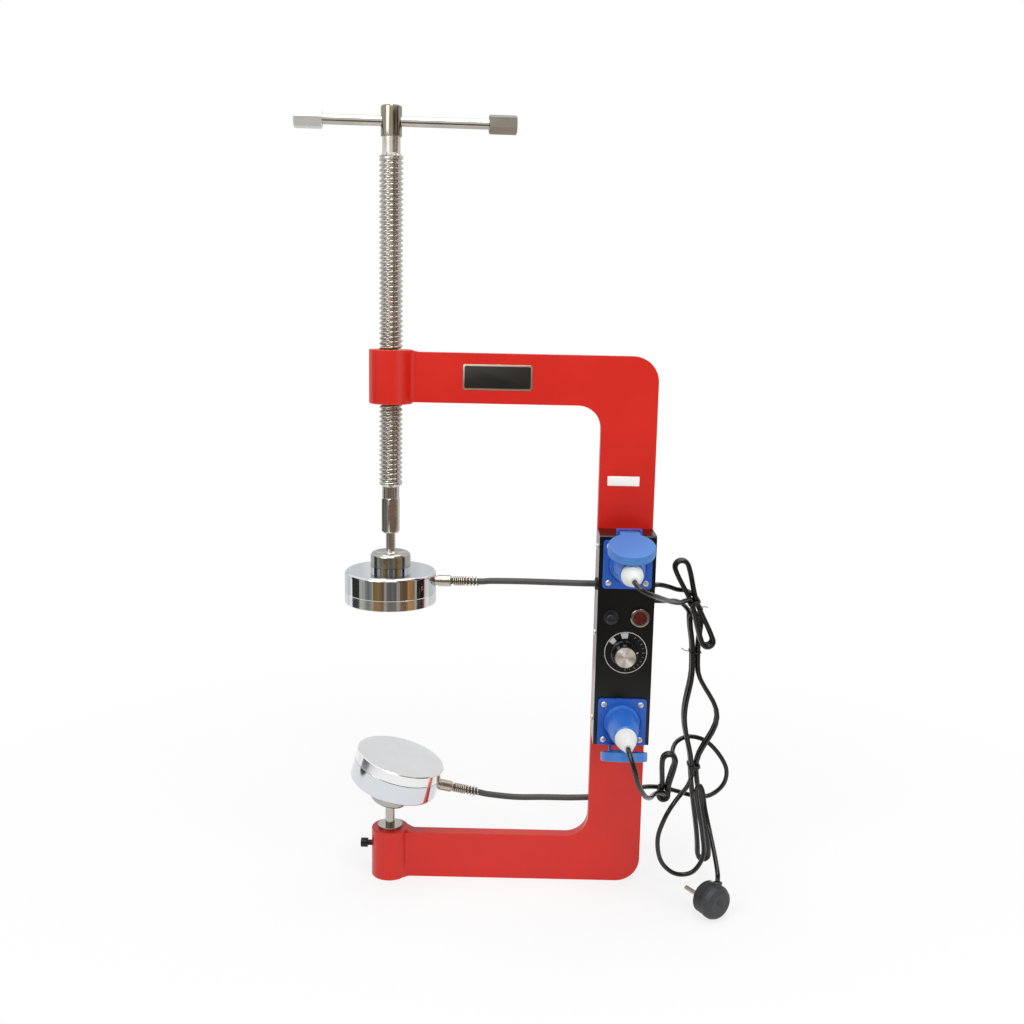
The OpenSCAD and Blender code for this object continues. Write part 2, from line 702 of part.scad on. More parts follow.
// Lid with its skirt, tab and knuckle, swung open about the hinge pin
module socket_lid(open) {
    top = lid_z + lid_h;
    color("#5f92d6") translate([0, hinge_up, hinge_out]) rotate([-open, 0, 0])
        translate([0, -hinge_up, -hinge_out])
        difference() {
            union() {
                difference() {
                    translate([0, 0, lid_z]) round_disc(lid_d / 2, lid_h, 1.5);
                    translate([0, 0, lid_z - 1]) cylinder(d = lid_d - 2 * lid_wall, h = lid_h - lid_wall + 1);
                }
                rotate([90, 0, 90]) linear_extrude(tab_w, center = true) polygon([[lid_d / 2 - 4, top],
                    [lid_d / 2 - 4, top - lid_wall], [lid_d / 2 - lid_wall, top - lid_wall - 1],
                    [hinge_up - knuckle_r + 1, hinge_out - 2], [hinge_up, hinge_out - 2],
                    [hinge_up, hinge_out + knuckle_r], [lid_d / 2 + 1, top]]);
                translate([0, hinge_up, hinge_out]) rotate([0, 90, 0])
                    cylinder(r = knuckle_r, h = tab_w, center = true);
            }
            translate([0, hinge_up, hinge_out]) rotate([0, 90, 0])
                cylinder(d = hinge_pin_d + 2 * run_fit, h = tab_w + 2, center = true);
        }
}

// Plug: contacts, round face in the recess, and a grip with two flats
module straight_plug() {
    face_r = recess_d / 2 - room;
    color("#2f6ac0") {
        intersection() {
            rotate_extrude() {
                translate([0, -recess_depth]) square([face_r, recess_depth + flange_t]);
                polygon([[0, flange_t], [face_r, flange_t], [grip_d / 2, flange_t + 5], [0, flange_t + 5]]);
                polygon([[0, flange_t + 5], [grip_d / 2, flange_t + 5], [grip_d / 2 - 0.8, grip_len / 2],
                    [grip_end_d / 2, grip_len - grip_edge_r], [grip_end_d / 2 - grip_edge_r, grip_len],
                    [0, grip_len]]);
            }
            union() {
                translate([-grip_flat / 2, -grip_d, 0]) cube([grip_flat, 2 * grip_d, grip_len + 1]);
                translate([0, 0, -recess_depth]) cylinder(r = face_r, h = recess_depth + flange_t + 1);
            }
        }
        for (x = [-1, 1])
            translate([x * contact_pitch / 2, 0, -recess_depth - contact_len])
                cylinder(d = contact_d, h = contact_len + 1);
    }
}

module plug_boot() {
    color("#eceee9") translate([0, 0, grip_len]) rotate_extrude() {
        square([boot_d / 2 - 1, 3]);
        translate([0, 1]) square([boot_d / 2, 2]);
        polygon([[0, 3], [boot_d / 2, 3], [boot_d / 2 - 1.2, 9], [boot_tip_d / 2, boot_len], [0, boot_len]]);
        translate([boot_d / 2 - 1, 1]) circle(1);
    }
}

module upper_place() {
    on_panel(0, upper_up) children();
}

module lower_place() {
    on_panel(0, lower_up) rotate([0, 0, 180]) children();
}

// Fuse holder, lamp, timer and knob
module fuse_holder() {
    color("#222224") on_panel(-fuse_side, fuse_up) difference() {
        union() {
            cylinder(d = fuse_flange_d, h = 2);
            translate([0, 0, -26]) cylinder(d = fuse_thread_d, h = 26);
        }
        translate([0, 0, -18]) cylinder(d = 7 + 2 * run_fit, h = 30);
    }
}

module fuse_cap() {
    slot = 1.4;
    color("#1b1b1d") on_panel(-fuse_side, fuse_up) difference() {
        union() {
            translate([0, 0, -17]) cylinder(d = 7, h = 19);
            translate([0, 0, 2 + room]) round_disc(fuse_cap_d / 2, fuse_cap_h - 2 - room, 1);
            cylinder(d = 7, h = 3);
        }
        translate([-fuse_cap_d, -slot / 2, fuse_cap_h - slot]) cube([2 * fuse_cap_d, slot, slot + 1]);
    }
}

module lamp_bezel() {
    color("#b9a79d") on_panel(lamp_side, fuse_up) difference() {
        union() {
            round_disc(bezel_d / 2, bezel_h, 1.8);
            translate([0, 0, -22]) cylinder(d = lamp_body_d, h = 22);
        }
        translate([0, 0, -1]) cylinder(d = lens_d + 2 * fixed_fit, h = bezel_h + 2);
    }
}

module lamp_lens() {
    color("#7a1512") on_panel(lamp_side, fuse_up) translate([0, 0, -1])
        round_disc(lens_d / 2, bezel_h + 0.6, 1.5);
}

module timer_body() {
    color("#3a3a3c") on_panel(0, timer_up) {
        translate([-timer_w / 2, -timer_w / 2, -sheet_t - timer_depth]) cube([timer_w, timer_w, timer_depth]);
        translate([0, 0, -sheet_t - 1]) cylinder(d = shaft_d, h = knob_h - 3 + sheet_t);
    }
}

module knob() {
    color("#141414") on_panel(0, timer_up) rotate([0, 0, pointer_turn]) difference() {
        rotate_extrude() polygon([[0, 0.5], [knob_d / 2, 0.5], [knob_d / 2, 2.5], [knob_d / 2 - 1.2, 3.6],
            [knob_cap_d / 2 + 1, 5], [knob_cap_d / 2 + 0.5, knob_h - 0.5], [knob_cap_d / 2, knob_h],
            [0, knob_h]]);
        translate([0, 0, -1]) cylinder(d = shaft_d + 2 * run_fit, h = knob_h - 3 + room + 1);
        translate([0, 0, knob_h - 1]) cylinder(d = knob_cap_d - 1 + 2 * fixed_fit, h = 2);
    }
}

module knob_cap() {
    color("#c9c2ba") on_panel(0, timer_up) translate([0, 0, knob_h - 1])
        cylinder(d = knob_cap_d - 1, h = 1.3);
}

// Grommet in a wall, with its bore along the wall's normal
module grommet(bore_d) {
    color("#191919") difference() {
        union() {
            round_disc(grommet_d / 2, grommet_rim, 1);
            translate([0, 0, -sheet_t]) cylinder(d = grommet_neck_d, h = sheet_t + 1);
            translate([0, 0, -sheet_t - grommet_rim]) cylinder(d = grommet_d, h = grommet_rim);
        }
        translate([0, 0, -sheet_t - grommet_rim - 1]) cylinder(d = bore_d + 2 * fixed_fit, h = 3 * grommet_d);
    }
}

// Hank: loops that run down one side and up the other, held narrow where they are tied.
// Its values: tie point, lean, length above and below the tie, fold radii above and below,
// belly on the left and on the right, sideways drift of the lower fold, the side it starts on,
// and the share of the upper length that stays narrow
function smooth(t) = t * t * (3 - 2 * t);
function hank_half(h, v, belly) = v >= 0
    ? strand_half + (h[4] - strand_half) * smooth(max(v / h[2] - h[10], 0) / (1 - h[10]))
        + belly * pow(sin(180 * min(v / h[2] / 0.68, 1)), 2)
    : strand_half + (h[5] - strand_half) * smooth(-v / h[3]);
function hank_flat(h, f) = let (run = h[2] + h[3])
    f < 1 / 3 ? let (v = h[2] - run * f * 3) [-hank_half(h, v, h[6]), v]
    : f < 1 / 2 ? let (a = 180 + 180 * (f - 1 / 3) * 6) [h[5] * cos(a), -h[3] + h[5] * sin(a)]
    : f < 5 / 6 ? let (v = -h[3] + run * (f - 1 / 2) * 3) [hank_half(h, v, h[7]), v]
    : let (a = 180 * (f - 5 / 6) * 6) [h[4] * cos(a), h[2] + h[4] * sin(a)];
function hank_point(h, t, depth) = let (p = hank_flat(h, t - floor(t)), v = p.y,
        u = h[9] * p.x + h[8] * smooth(min(max(-v / h[3], 0), 1)))
    h[0] + [u * cos(h[1]) - v * sin(h[1]), depth, u * sin(h[1]) + v * cos(h[1])];
function hank_path(h, first, last, deep) = [for (k = [first : last])
    hank_point(h, k / hank_steps, deep * turn_pitch * (k - first) / hank_steps)];
function end_dir(path) = let (n = len(path) - 1) unit(path[n] - path[n - 1]);
function start_dir(path) = unit(path[1] - path[0]);
function least_gap(path, d, skip) = min([for (i = [0 : len(path) - 1 - skip], j = [i + skip : len(path) - 1])
    norm(path[i] - path[j])]) - d;

hank_steps = 24;
lead_in = 7;
upper_hank_form = [[319, -22, 319], 21, 40, 44, 7, 6, 0, 0, 0, 1, 0];
upper_hank_path = hank_path(upper_hank_form, 4, 64, 1);
lower_hank_form = [[299, 6, 105], -6, 34, 7, 7, 5.4, 0, 0, 0, -1, 0];
lower_hank_path = hank_path(lower_hank_form, 2, 53, -1);
mains_hank_form = [[332, 22, 127], 2, 166, 105, 6, 6, 8, 22, 12, 1, 0.8];
mains_hank_path = hank_path(mains_hank_form, 0, 53, -1);

echo(spring_gap = least_gap(spring_path, wire_d, 5));
echo(upper_hank_gap = least_gap(upper_hank_path, cord_d, 4));
echo(lower_hank_gap = least_gap(lower_hank_path, cord_d, 4));
echo(mains_hank_gap = least_gap(mains_hank_path, cord_d, 4));

module hank(path) {
    color("#1e1e1e") tube(path, path_dirs(path, start_dir(path), end_dir(path)),
        [for (p = path) [0, 1, 0]], cord_r, 6);
}

// Point that stands a lead_in before a path's start, and one that stands a lead_in beyond its end
function before(path) = path[0] - lead_in * start_dir(path);
function beyond(path) = path[len(path) - 1] + lead_in * end_dir(path);
function last_of(path) = path[len(path) - 1];

// Routes: ends follow the pieces they meet, and the points between are chosen to lie as the cords lie
left_wall = column_x - box_w / 2;
right_wall = column_x + box_w / 2;
wall_in = sheet_t + grommet_rim;
upper_gland_z = upper_ball_z - gland_drop;
boot_tip_y = panel_y - boot_end;
upper_sleeve_route = [[gland_end, 0, upper_gland_z], [gland_end + 17, 0, upper_gland_z],
    [gland_end + spring_len + 2, 0, upper_gland_z], [gland_end + spring_len + 12, 0, upper_gland_z + 0.8],
    [137, -7, 335.5], [167, -17, 337.6],
    [left_wall - 18, panel_y + sleeve_hole[0], sleeve_hole[1]],
    [left_wall - 6, panel_y + sleeve_hole[0], sleeve_hole[1]],
    [left_wall + wall_in, panel_y + sleeve_hole[0], sleeve_hole[1]]];
lower_sleeve_route = [lower_gland_at(gland_end), lower_gland_at(gland_end + 17),
    lower_gland_at(gland_end + spring_len + 2), lower_gland_at(gland_end + spring_len + 12),
    [137, 20, 83], [168, 19, 84],
    [200, 15, 86], [225, 14, 88], [245, 14, 92]];
upper_lead_box_route = [[right_wall - wall_in, panel_y + lead_hole[0], lead_hole[1]],
    [right_wall + 2.5, panel_y + lead_hole[0], lead_hole[1]],
    [right_wall + 8.5, panel_y + lead_hole[0], lead_hole[1]],
    [292, -20, 336], [302, -10, 331], [312, -4, 328.5],
    beyond(upper_hank_path), last_of(upper_hank_path)];
upper_lead_plug_route = [upper_hank_path[0], before(upper_hank_path), [307, -34, 325], [297, -58, 329],
    [283, -92, 339], [268, -121, 350], [254, -136, 358],
    [column_x, boot_tip_y - 8, upper_socket_z], [column_x, boot_tip_y, upper_socket_z]];
lower_lead_column_route = [[245.6, 14, 92.2], [262, 14, 97], [282, 14, 101], [300, 17, 99], [317, 27, 91],
    [335, 33, 84], [354, 33, 84], [369, 33, 97], [372, 33, 115], [362, 33, 134], [346, 33, 149],
    [328, 33, 153], [315, 30, 148],
    [309, 20, 141], before(lower_hank_path), lower_hank_path[0]];
lower_lead_plug_route = [last_of(lower_hank_path), beyond(lower_hank_path), [298, -11, 104], [290, -22, 110],
    [282, -44, 117],
    [276, -71, 126], [270, -98, 137], [263, -122, 150], [255, -136, 167], [250, -139, 184],
    [column_x, boot_tip_y - 8, lower_socket_z], [column_x, boot_tip_y, lower_socket_z]];
mains_cord_box_route = [[right_wall - wall_in, panel_y + mains_hole[0], mains_hole[1]],
    [right_wall + 2.5, panel_y + mains_hole[0], mains_hole[1]],
    [right_wall + 8.5, panel_y + mains_hole[0], mains_hole[1]],
    [292, -16, 320], [302, -2, 316.5], [312, 14, 309],
    before(mains_hank_path), mains_hank_path[0]];
plug_at = [343, -80, plug_face_d / 2];
plug_turn = 124;
relief_back = 7.5;
relief_len = 22;
relief_dir = unit([0, 0.3, 0.95]);
relief_foot = plug_at - relief_back * [cos(plug_turn), sin(plug_turn), 0];
relief_end = relief_foot + relief_len * relief_dir;
mains_cord_plug_route = [last_of(mains_hank_path), beyond(mains_hank_path), [323, -3, 109], [310, -19, 101],
    [298, -27, 85], [291, -25, 59], [296, -20, 31], [312, -17, 15], [331, -17, 17], [342, -17, 36],
    [340, -16, 62], [335, -15, 88],
    [331.5, -15, 108], [334, -16, 117], [338, -17, 110], [341, -20, 92], [345, -32, 72], [347, -54, 58],
    relief_end + 9 * relief_dir, relief_end];

module black_cord(route, ref = [0, 1, 0]) {
    color("#1e1e1e") cord(route, cord_d, ref);
}

module sleeve(route) {
    color("#242424") cord(route, sleeve_d, [0, 1, 0]);
}

// Mains plug: round face with two contacts, a wider shell behind it that stands on its rim,
// and a ribbed strain relief from the shell up to the cord
module mains_plug() {
    r = plug_face_d / 2;
    back = plug_body_h / 2;
    rib = [[0.2, 0], [-0.7, 0.9], [-0.8, 1.6], [0, 2.4]];
    color("#1a1a1a") {
        translate(plug_at) rotate([90, 0, plug_turn + 90]) {
            rotate_extrude() polygon([[0, -back], [r - 6, -back], [r - 2, -back + 3], [r, -back + 7], [r, -1],
                [r - 1, 0], [r - 1, back - 0.8], [r - 1.8, back], [0, back]]);
            for (s = [-1, 1])
                rotate([0, 0, 20]) translate([s * contact_pitch / 2, 0, 1])
                    cylinder(d = contact_d, h = back + contact_len - 1);
        }
        translate(relief_foot) rotate([0, acos(relief_dir.z), atan2(relief_dir.y, relief_dir.x)])
            rotate_extrude() polygon([[0, 0], [7.2, 0], [6.4, 9],
                for (k = [0 : 3]) for (q = rib) [6.2 - 0.4 * k + q.x, 10 + 2.6 * k + q.y],
                [4.3, relief_len], [0, relief_len]]);
    }
}

c_frame();
spindle_nut();
spindle();
tommy_bar();
bar_cap_left();
bar_cap_right();
swivel_ball();
upper_pose() heater_housing();  // upper_housing
upper_pose() heater_plate();  // upper_plate
upper_pose() heater_element();  // upper_element
upper_pose() heater_insulation();  // upper_insulation
upper_pose() ring_nut();  // upper_ring_nut
upper_pose() gland();  // upper_gland
upper_pose() gland_spring();  // upper_gland_spring
lower_pose() heater_housing();  // lower_housing
lower_pose() heater_plate();  // lower_plate
lower_pose() heater_element();  // lower_element
lower_pose() heater_insulation();  // lower_insulation
lower_pose() ring_nut();  // lower_ring_nut
lower_pose() gland();  // lower_gland
lower_pose() gland_spring();  // lower_gland_spring
lower_stem();
stem_washer();
lock_screw();
box_cover();
box_chassis();
upper_place() panel_socket();  // upper_socket
upper_place() socket_lid(upper_lid_open);  // upper_lid
upper_place() lid_pin();  // upper_lid_pin
upper_place() straight_plug();  // upper_plug
upper_place() plug_boot();  // upper_boot
lower_place() panel_socket();  // lower_socket
lower_place() socket_lid(lower_lid_open);  // lower_lid
lower_place() lid_pin();  // lower_lid_pin
lower_place() straight_plug();  // lower_plug
lower_place() plug_boot();  // lower_boot
fuse_holder();
fuse_cap();
lamp_bezel();
lamp_lens();
timer_body();
knob();
knob_cap();
through_wall(-1, sleeve_hole) grommet(sleeve_d);  // sleeve_grommet
through_wall(1, lead_hole) grommet(cord_d);  // lead_grommet
through_wall(1, mains_hole) grommet(cord_d);  // mains_grommet
sleeve(upper_sleeve_route);  // upper_sleeve
sleeve(lower_sleeve_route);  // lower_sleeve
black_cord(upper_lead_box_route);  // upper_lead_box
hank(upper_hank_path);  // upper_hank
black_cord(upper_lead_plug_route, [1, 0, 0]);  // upper_lead_plug
black_cord(lower_lead_column_route);  // lower_lead_column
hank(lower_hank_path);  // lower_hank
black_cord(lower_lead_plug_route, [1, 0, 0]);  // lower_lead_plug
black_cord(mains_cord_box_route);  // mains_cord_box
hank(mains_hank_path);  // mains_hank
black_cord(mains_cord_plug_route);  // mains_cord_plug
mains_plug();
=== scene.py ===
import math

import bmesh
import bpy
import numpy as np
from mathutils import Matrix, Vector


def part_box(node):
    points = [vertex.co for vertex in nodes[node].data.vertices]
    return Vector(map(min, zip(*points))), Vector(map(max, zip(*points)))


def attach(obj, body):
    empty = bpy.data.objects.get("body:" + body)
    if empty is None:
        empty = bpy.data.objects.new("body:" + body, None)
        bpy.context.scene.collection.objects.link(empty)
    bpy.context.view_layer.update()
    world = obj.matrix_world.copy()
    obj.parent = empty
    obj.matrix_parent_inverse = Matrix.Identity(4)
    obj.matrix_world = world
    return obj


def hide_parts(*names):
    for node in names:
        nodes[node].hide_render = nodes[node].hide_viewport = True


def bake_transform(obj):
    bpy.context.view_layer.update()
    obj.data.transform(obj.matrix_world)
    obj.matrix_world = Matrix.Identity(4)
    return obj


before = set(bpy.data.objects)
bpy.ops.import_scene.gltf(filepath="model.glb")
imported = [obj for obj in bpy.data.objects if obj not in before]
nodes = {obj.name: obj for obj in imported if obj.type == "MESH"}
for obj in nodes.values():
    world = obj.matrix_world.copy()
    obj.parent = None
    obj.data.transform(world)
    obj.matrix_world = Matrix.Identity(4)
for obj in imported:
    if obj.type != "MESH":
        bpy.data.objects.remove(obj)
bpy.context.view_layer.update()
scene = bpy.context.scene
scene.view_settings.view_transform = "Standard"

# Camera: it stands in front of the press, a little above the box, tipped down 10 degrees
# and rolled 1 degree, as a fit of the press's straight edges in the photo gives it.
yaw, pitch, roll = (math.radians(a) for a in (-0.231, 10.038, 1.163))
look = Vector((math.sin(yaw) * math.cos(pitch), math.cos(yaw) * math.cos(pitch), -math.sin(pitch)))
level = Vector((math.cos(yaw), -math.sin(yaw), 0))
rise = level.cross(look)
right = math.cos(roll) * level + math.sin(roll) * rise
top = -math.sin(roll) * level + math.cos(roll) * rise
camera = bpy.data.objects.new("camera", bpy.data.cameras.new("camera"))
camera.data.sensor_width = 36
camera.data.lens = 40.69
camera.matrix_world = Matrix((right, top, -look)).transposed().to_4x4()
camera.location = (0.13170, -1.19170, 0.61891)
scene.collection.objects.link(camera)
scene.camera = camera

# Cords: round flex with a PVC sheath, from the box and the column to the two plugs and the mains plug.
# Each is folded into a hank and tied beside the column. Routes and hanks are the solids' own, in millimetres
# until a mesh is made of them.
flex_d, flex_step = 5, 2.2
strand_half, loop_step, loop_marks = 2.9, 5.8, 24
belly_end = 0.68


def unit(v):
    return v / np.linalg.norm(v)


def smooth_step(t):
    return t * t * (3 - 2 * t)


def curve_through(route, steps=12):
    route = [np.array(p, float) for p in route]
    last = len(route) - 1
    points = []
    for i in range(last):
        a, b, c, d = route[max(i - 1, 0)], route[i], route[i + 1], route[min(i + 2, last)]
        for k in range(steps):
            t = k / steps
            points.append(0.5 * (2 * b + (c - a) * t + (2 * a - 5 * b + 4 * c - d) * t ** 2
                                 + (3 * b - a - 3 * c + d) * t ** 3))
    return points + [route[last]]


def hank_half(hank, v, belly):
    # Half the hank's width at v along it: narrow at the tie, wider at its folds and in its belly
    if v < 0:
        return strand_half + (hank["low_r"] - strand_half) * smooth_step(-v / hank["down"])
    share = v / hank["up"]
    opening = smooth_step(max(share - hank["narrow"], 0) / (1 - hank["narrow"]))
    return (strand_half + (hank["top_r"] - strand_half) * opening
            + belly * math.sin(math.pi * min(share / belly_end, 1)) ** 2)


def hank_place(hank, u, v, depth):
    lean = math.radians(hank["lean"])
    return np.array(hank["tie"]) + np.array([u * math.cos(lean) - v * math.sin(lean), depth,
                                             u * math.sin(lean) + v * math.cos(lean)])


def hank_point(hank, turn, depth):
    # Down the left side, round the lower fold, up the right side and round the upper fold
    f = turn % 1
    up, down, top_r, low_r = hank["up"], hank["down"], hank["top_r"], hank["low_r"]
    if f < 1 / 3:
        v = up - (up + down) * f * 3
        u = -hank_half(hank, v, hank["left_belly"])
    elif f < 1 / 2:
        a = math.pi * (1 + (f - 1 / 3) * 6)
        u, v = low_r * math.cos(a), -down + low_r * math.sin(a)
    elif f < 5 / 6:
        v = -down + (up + down) * (f - 1 / 2) * 3
        u = hank_half(hank, v, hank["right_belly"])
    else:
        a = math.pi * (f - 5 / 6) * 6
        u, v = top_r * math.cos(a), up + top_r * math.sin(a)
    u = hank["side"] * u + hank["drift"] * smooth_step(min(max(-v / down, 0), 1))
    return hank_place(hank, u, v, depth)


def hank_points(hank, fine=4):
    first, last = hank["first"] * fine, hank["last"] * fine
    per_turn = loop_marks * fine
    return [hank_point(hank, k / per_turn, hank["deep"] * loop_step * (k - first) / per_turn)
            for k in range(first, last + 1)]


def ahead(points, distance=7):
    return points[-1] + distance * unit(points[-1] - points[-2])


def step_lengths(points):
    return np.linalg.norm(np.diff(points, axis=0), axis=1)


def evened(points, spacing):
    points = np.array(points)
    along = np.concatenate([[0], np.cumsum(step_lengths(points))])
    at = np.linspace(0, along[-1], max(int(along[-1] / spacing), 4) + 1)
    return np.stack([np.interp(at, along, points[:, k]) for k in range(3)], axis=1)


def make_mesh(name, verts, faces, sharp=35):
    mesh = bpy.data.meshes.new(name)
    mesh.from_pydata([tuple(v) for v in verts], [], faces)
    work = bmesh.new()
    work.from_mesh(mesh)
    bmesh.ops.recalc_face_normals(work, faces=work.faces)
    for face in work.faces:
        face.smooth = True
    for edge in work.edges:
        edge.smooth = len(edge.link_faces) == 2 and edge.calc_face_angle(0) < math.radians(sharp)
    work.to_mesh(mesh)
    work.free()
    piece = bpy.data.objects.new(name, mesh)
    scene.collection.objects.link(piece)
    return piece


def tube(name, points, radius, sides=14):
    points = np.array(points) / 1000
    radius = radius / 1000
    last = len(points) - 1
    across = None
    verts = []
    for i, p in enumerate(points):
        along = unit(points[min(i + 1, last)] - points[max(i - 1, 0)])
        across = np.cross(along, [0.3, 0.5, 0.8]) if across is None else across
        across = unit(across - along * np.dot(across, along))
        up = np.cross(along, across)
        for k in range(sides):
            a = 2 * math.pi * k / sides
            verts.append(p + radius * (math.cos(a) * across + math.sin(a) * up))
    faces = [(i * sides + k, i * sides + (k + 1) % sides, j * sides + (k + 1) % sides, j * sides + k)
             for i, j in zip(range(last), range(1, last + 1)) for k in range(sides)]
    faces += [tuple(range(sides))[::-1], tuple(last * sides + k for k in range(sides))]
    return make_mesh(name, verts, faces, sharp=50)


def linear(hex_colour):
    parts = [int(hex_colour[i:i + 2], 16) / 255 for i in (1, 3, 5)]
    return [c / 12.92 if c <= 0.04045 else ((c + 0.055) / 1.055) ** 2.4 for c in parts] + [1]


def grain(size):
    # A pattern's scale from the size of its marks in millimetres
    return 1000 / size


def add(tree, kind, settings={}, links={}):
    # A link is given as a socket, or as a node whose first output it takes
    node = tree.nodes.new(kind)
    for key, value in settings.items():
        if isinstance(key, str) and hasattr(node, key):
            setattr(node, key, value)
        else:
            node.inputs[key].default_value = value
    for key, source in links.items():
        tree.links.new(source.outputs[0] if isinstance(source, bpy.types.Node) else source, node.inputs[key])
    return node


def new_material(name):
    material = bpy.data.materials.new(name)
    material.use_nodes = True
    tree = material.node_tree
    tree.nodes.clear()
    return material, tree, add(tree, "ShaderNodeTexCoord").outputs["Object"]


def mottled(name, mark, dark, pale, rough, settings, pattern="ShaderNodeTexNoise", detail=4, skin=None):
    # A finish whose colour and roughness go from dark to pale in marks of that many millimetres. A finish of
    # one colour has no pale. Skin is a fine relief: its marks in millimetres, its strength, and its depth
    # in millimetres
    material, tree, where = new_material(name)
    marks = add(tree, pattern, {"Scale": grain(mark), "Detail": detail}, {"Vector": where})
    settings, links = dict(settings), {}
    if pale:
        tone = add(tree, "ShaderNodeMix", {"data_type": "RGBA", 6: linear(dark), 7: linear(pale)}, {0: marks})
        links["Base Color"] = tone.outputs[2]
    else:
        settings["Base Color"] = linear(dark)
    if rough:
        links["Roughness"] = add(tree, "ShaderNodeMapRange", {"To Min": rough[0], "To Max": rough[1]},
                                 {"Value": marks})
    if skin:
        size, strength, depth = skin
        relief = add(tree, "ShaderNodeTexNoise", {"Scale": grain(size), "Detail": 2}, {"Vector": where})
        links["Normal"] = add(tree, "ShaderNodeBump", {"Strength": strength, "Distance": depth / 1000},
                              {"Height": relief})
    shader = add(tree, "ShaderNodeBsdfPrincipled", settings, links)
    add(tree, "ShaderNodeOutputMaterial", {}, {"Surface": shader})
    return material


# PVC flex: extruded and handled, so it is glossy, with dust in patches of about 10 mm and drag lines of 1 mm
pvc_flex = mottled("pvc_flex", 11, "#090909", "#171716", (0.15, 0.27), {"IOR": 1.53}, skin=(1.1, 0.12, 0.2))


def finish_piece(piece, material, body):
    piece.data.materials.append(material)
    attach(piece, body)
    return piece


def flex(name, points, replaced):
    points = evened(points, flex_step)
    piece = finish_piece(tube(name, points, flex_d / 2), pvc_flex, "frame")
    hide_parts(*replaced)


# A hank reaches up and down from its tie, and leans by so many degrees. Its strand goes from the first mark
# to the last, round folds of top_r and low_r, and each turn lies in front of the one before it, or behind it.
plain_hank = {"left_belly": 0, "right_belly": 0, "drift": 0, "narrow": 0}
upper_hank = {**plain_hank, "tie": (319, -22, 319), "lean": 21, "up": 40, "down": 44, "top_r": 7, "low_r": 6,
              "side": 1, "first": 4, "last": 64, "deep": 1}
upper_loops = hank_points(upper_hank)
upper_in = curve_through([(270.75, -24.5, 339), (276.75, -24.5, 339), (282.75, -24.5, 339), (292, -20, 336),
                          (302, -10, 331), (312, -4, 328.5), ahead(upper_loops), upper_loops[-1]])
upper_out = curve_through([upper_loops[0], ahead(upper_loops[::-1]), (307, -34, 325), (297, -58, 329),
                           (283, -92, 339), (268, -121, 350), (254, -136, 358), (245.25, -129.5, 364.5),
                           (245.25, -121.5, 364.5)])
flex("upper_lead", upper_in[:-1] + upper_loops[::-1] + upper_out[1:],
     ["upper_lead_box", "upper_hank", "upper_lead_plug"])

lower_hank = {**plain_hank, "tie": (299, 6, 105), "lean": -6, "up": 34, "down": 7, "top_r": 7, "low_r": 5.4,
              "side": -1, "first": 2, "last": 53, "deep": -1}
lower_loops = hank_points(lower_hank)
lower_in = curve_through([(245.6, 14, 92.2), (262, 14, 97), (282, 14, 101), (300, 17, 99), (317, 27, 91),
                          (335, 33, 84), (354, 33, 84), (369, 33, 97), (372, 33, 115), (362, 33, 134),
                          (346, 33, 149), (328, 33, 153), (315, 30, 148), (309, 20, 141),
                          ahead(lower_loops[::-1]), lower_loops[0]])
lower_out = curve_through([lower_loops[-1], ahead(lower_loops), (298, -11, 104), (290, -22, 110),
                           (282, -44, 117), (276, -71, 126), (270, -98, 137), (263, -122, 150),
                           (255, -136, 167), (250, -139, 184), (245.25, -129.5, 197.5),
                           (245.25, -121.5, 197.5)])
flex("lower_lead", lower_in[:-1] + lower_loops + lower_out[1:],
     ["lower_lead_column", "lower_hank", "lower_lead_plug"])

# Mains plug: an angled two-pin plug moulded in soft black PVC round bright pins, with a sprung earth strip
# let in on each side of its round face. It stands on its rim on the table, with its cord rising from it.
plug_at = np.array([343, -80, 18])
plug_turn = math.radians(124)
plug_axis = np.array([math.cos(plug_turn), math.sin(plug_turn), 0])
plug_side = np.array([-math.sin(plug_turn), math.cos(plug_turn), 0])
insert_r, pin_start = 17, 12.05
strip_long, strip_wide, strip_thick, strip_middle, strip_sunk = 11, 4, 0.9, 6, 0.4
relief_back, relief_long, relief_lead = 7.5, 22, 9


def rounded_outline(w, h, r, steps=6):
    points = []
    for quarter, (x, y) in enumerate(((1, 1), (-1, 1), (-1, -1), (1, -1))):
        for k in range(steps + 1):
            a = math.pi / 2 * (quarter + k / steps)
            points.append((x * (w / 2 - r) + r * math.cos(a), y * (h / 2 - r) + r * math.sin(a)))
    return points


def layered(name, loops, place, closed=False):
    # Loops of one count, joined one to the next: a closed ring joins the last to the first, others are capped
    count = len(loops[0])
    verts = [place(*p) / 1000 for loop in loops for p in loop]
    pairs = [(i, (i + 1) % len(loops)) for i in range(len(loops) if closed else len(loops) - 1)]
    faces = [(i * count + k, i * count + (k + 1) % count, j * count + (k + 1) % count, j * count + k)
             for i, j in pairs for k in range(count)]
    if not closed:
        faces += [tuple(range(count))[::-1], tuple((len(loops) - 1) * count + k for k in range(count))]
    return make_mesh(name, verts, faces)


def flat_plate(name, w, h, r, thick, edge, place):
    steps = ((0, 0), (0, thick - edge), (edge * 0.3, thick - edge * 0.3), (edge, thick))
    loops = [[(x, y, t) for x, y in rounded_outline(w - 2 * inset, h - 2 * inset, max(r - inset, 0.2))]
             for inset, t in steps]
    return layered(name, loops, place)


# Nickel plate: bright but not mirror-like, with a brownish haze in patches of 17 mm and fine wear marks
nickel = mottled("nickel_plate", 17, "#aaa49c", "#c6c1ba", (0.10, 0.22), {"Metallic": 1}, detail=5,
                 skin=(0.7, 0.05, 0.1))

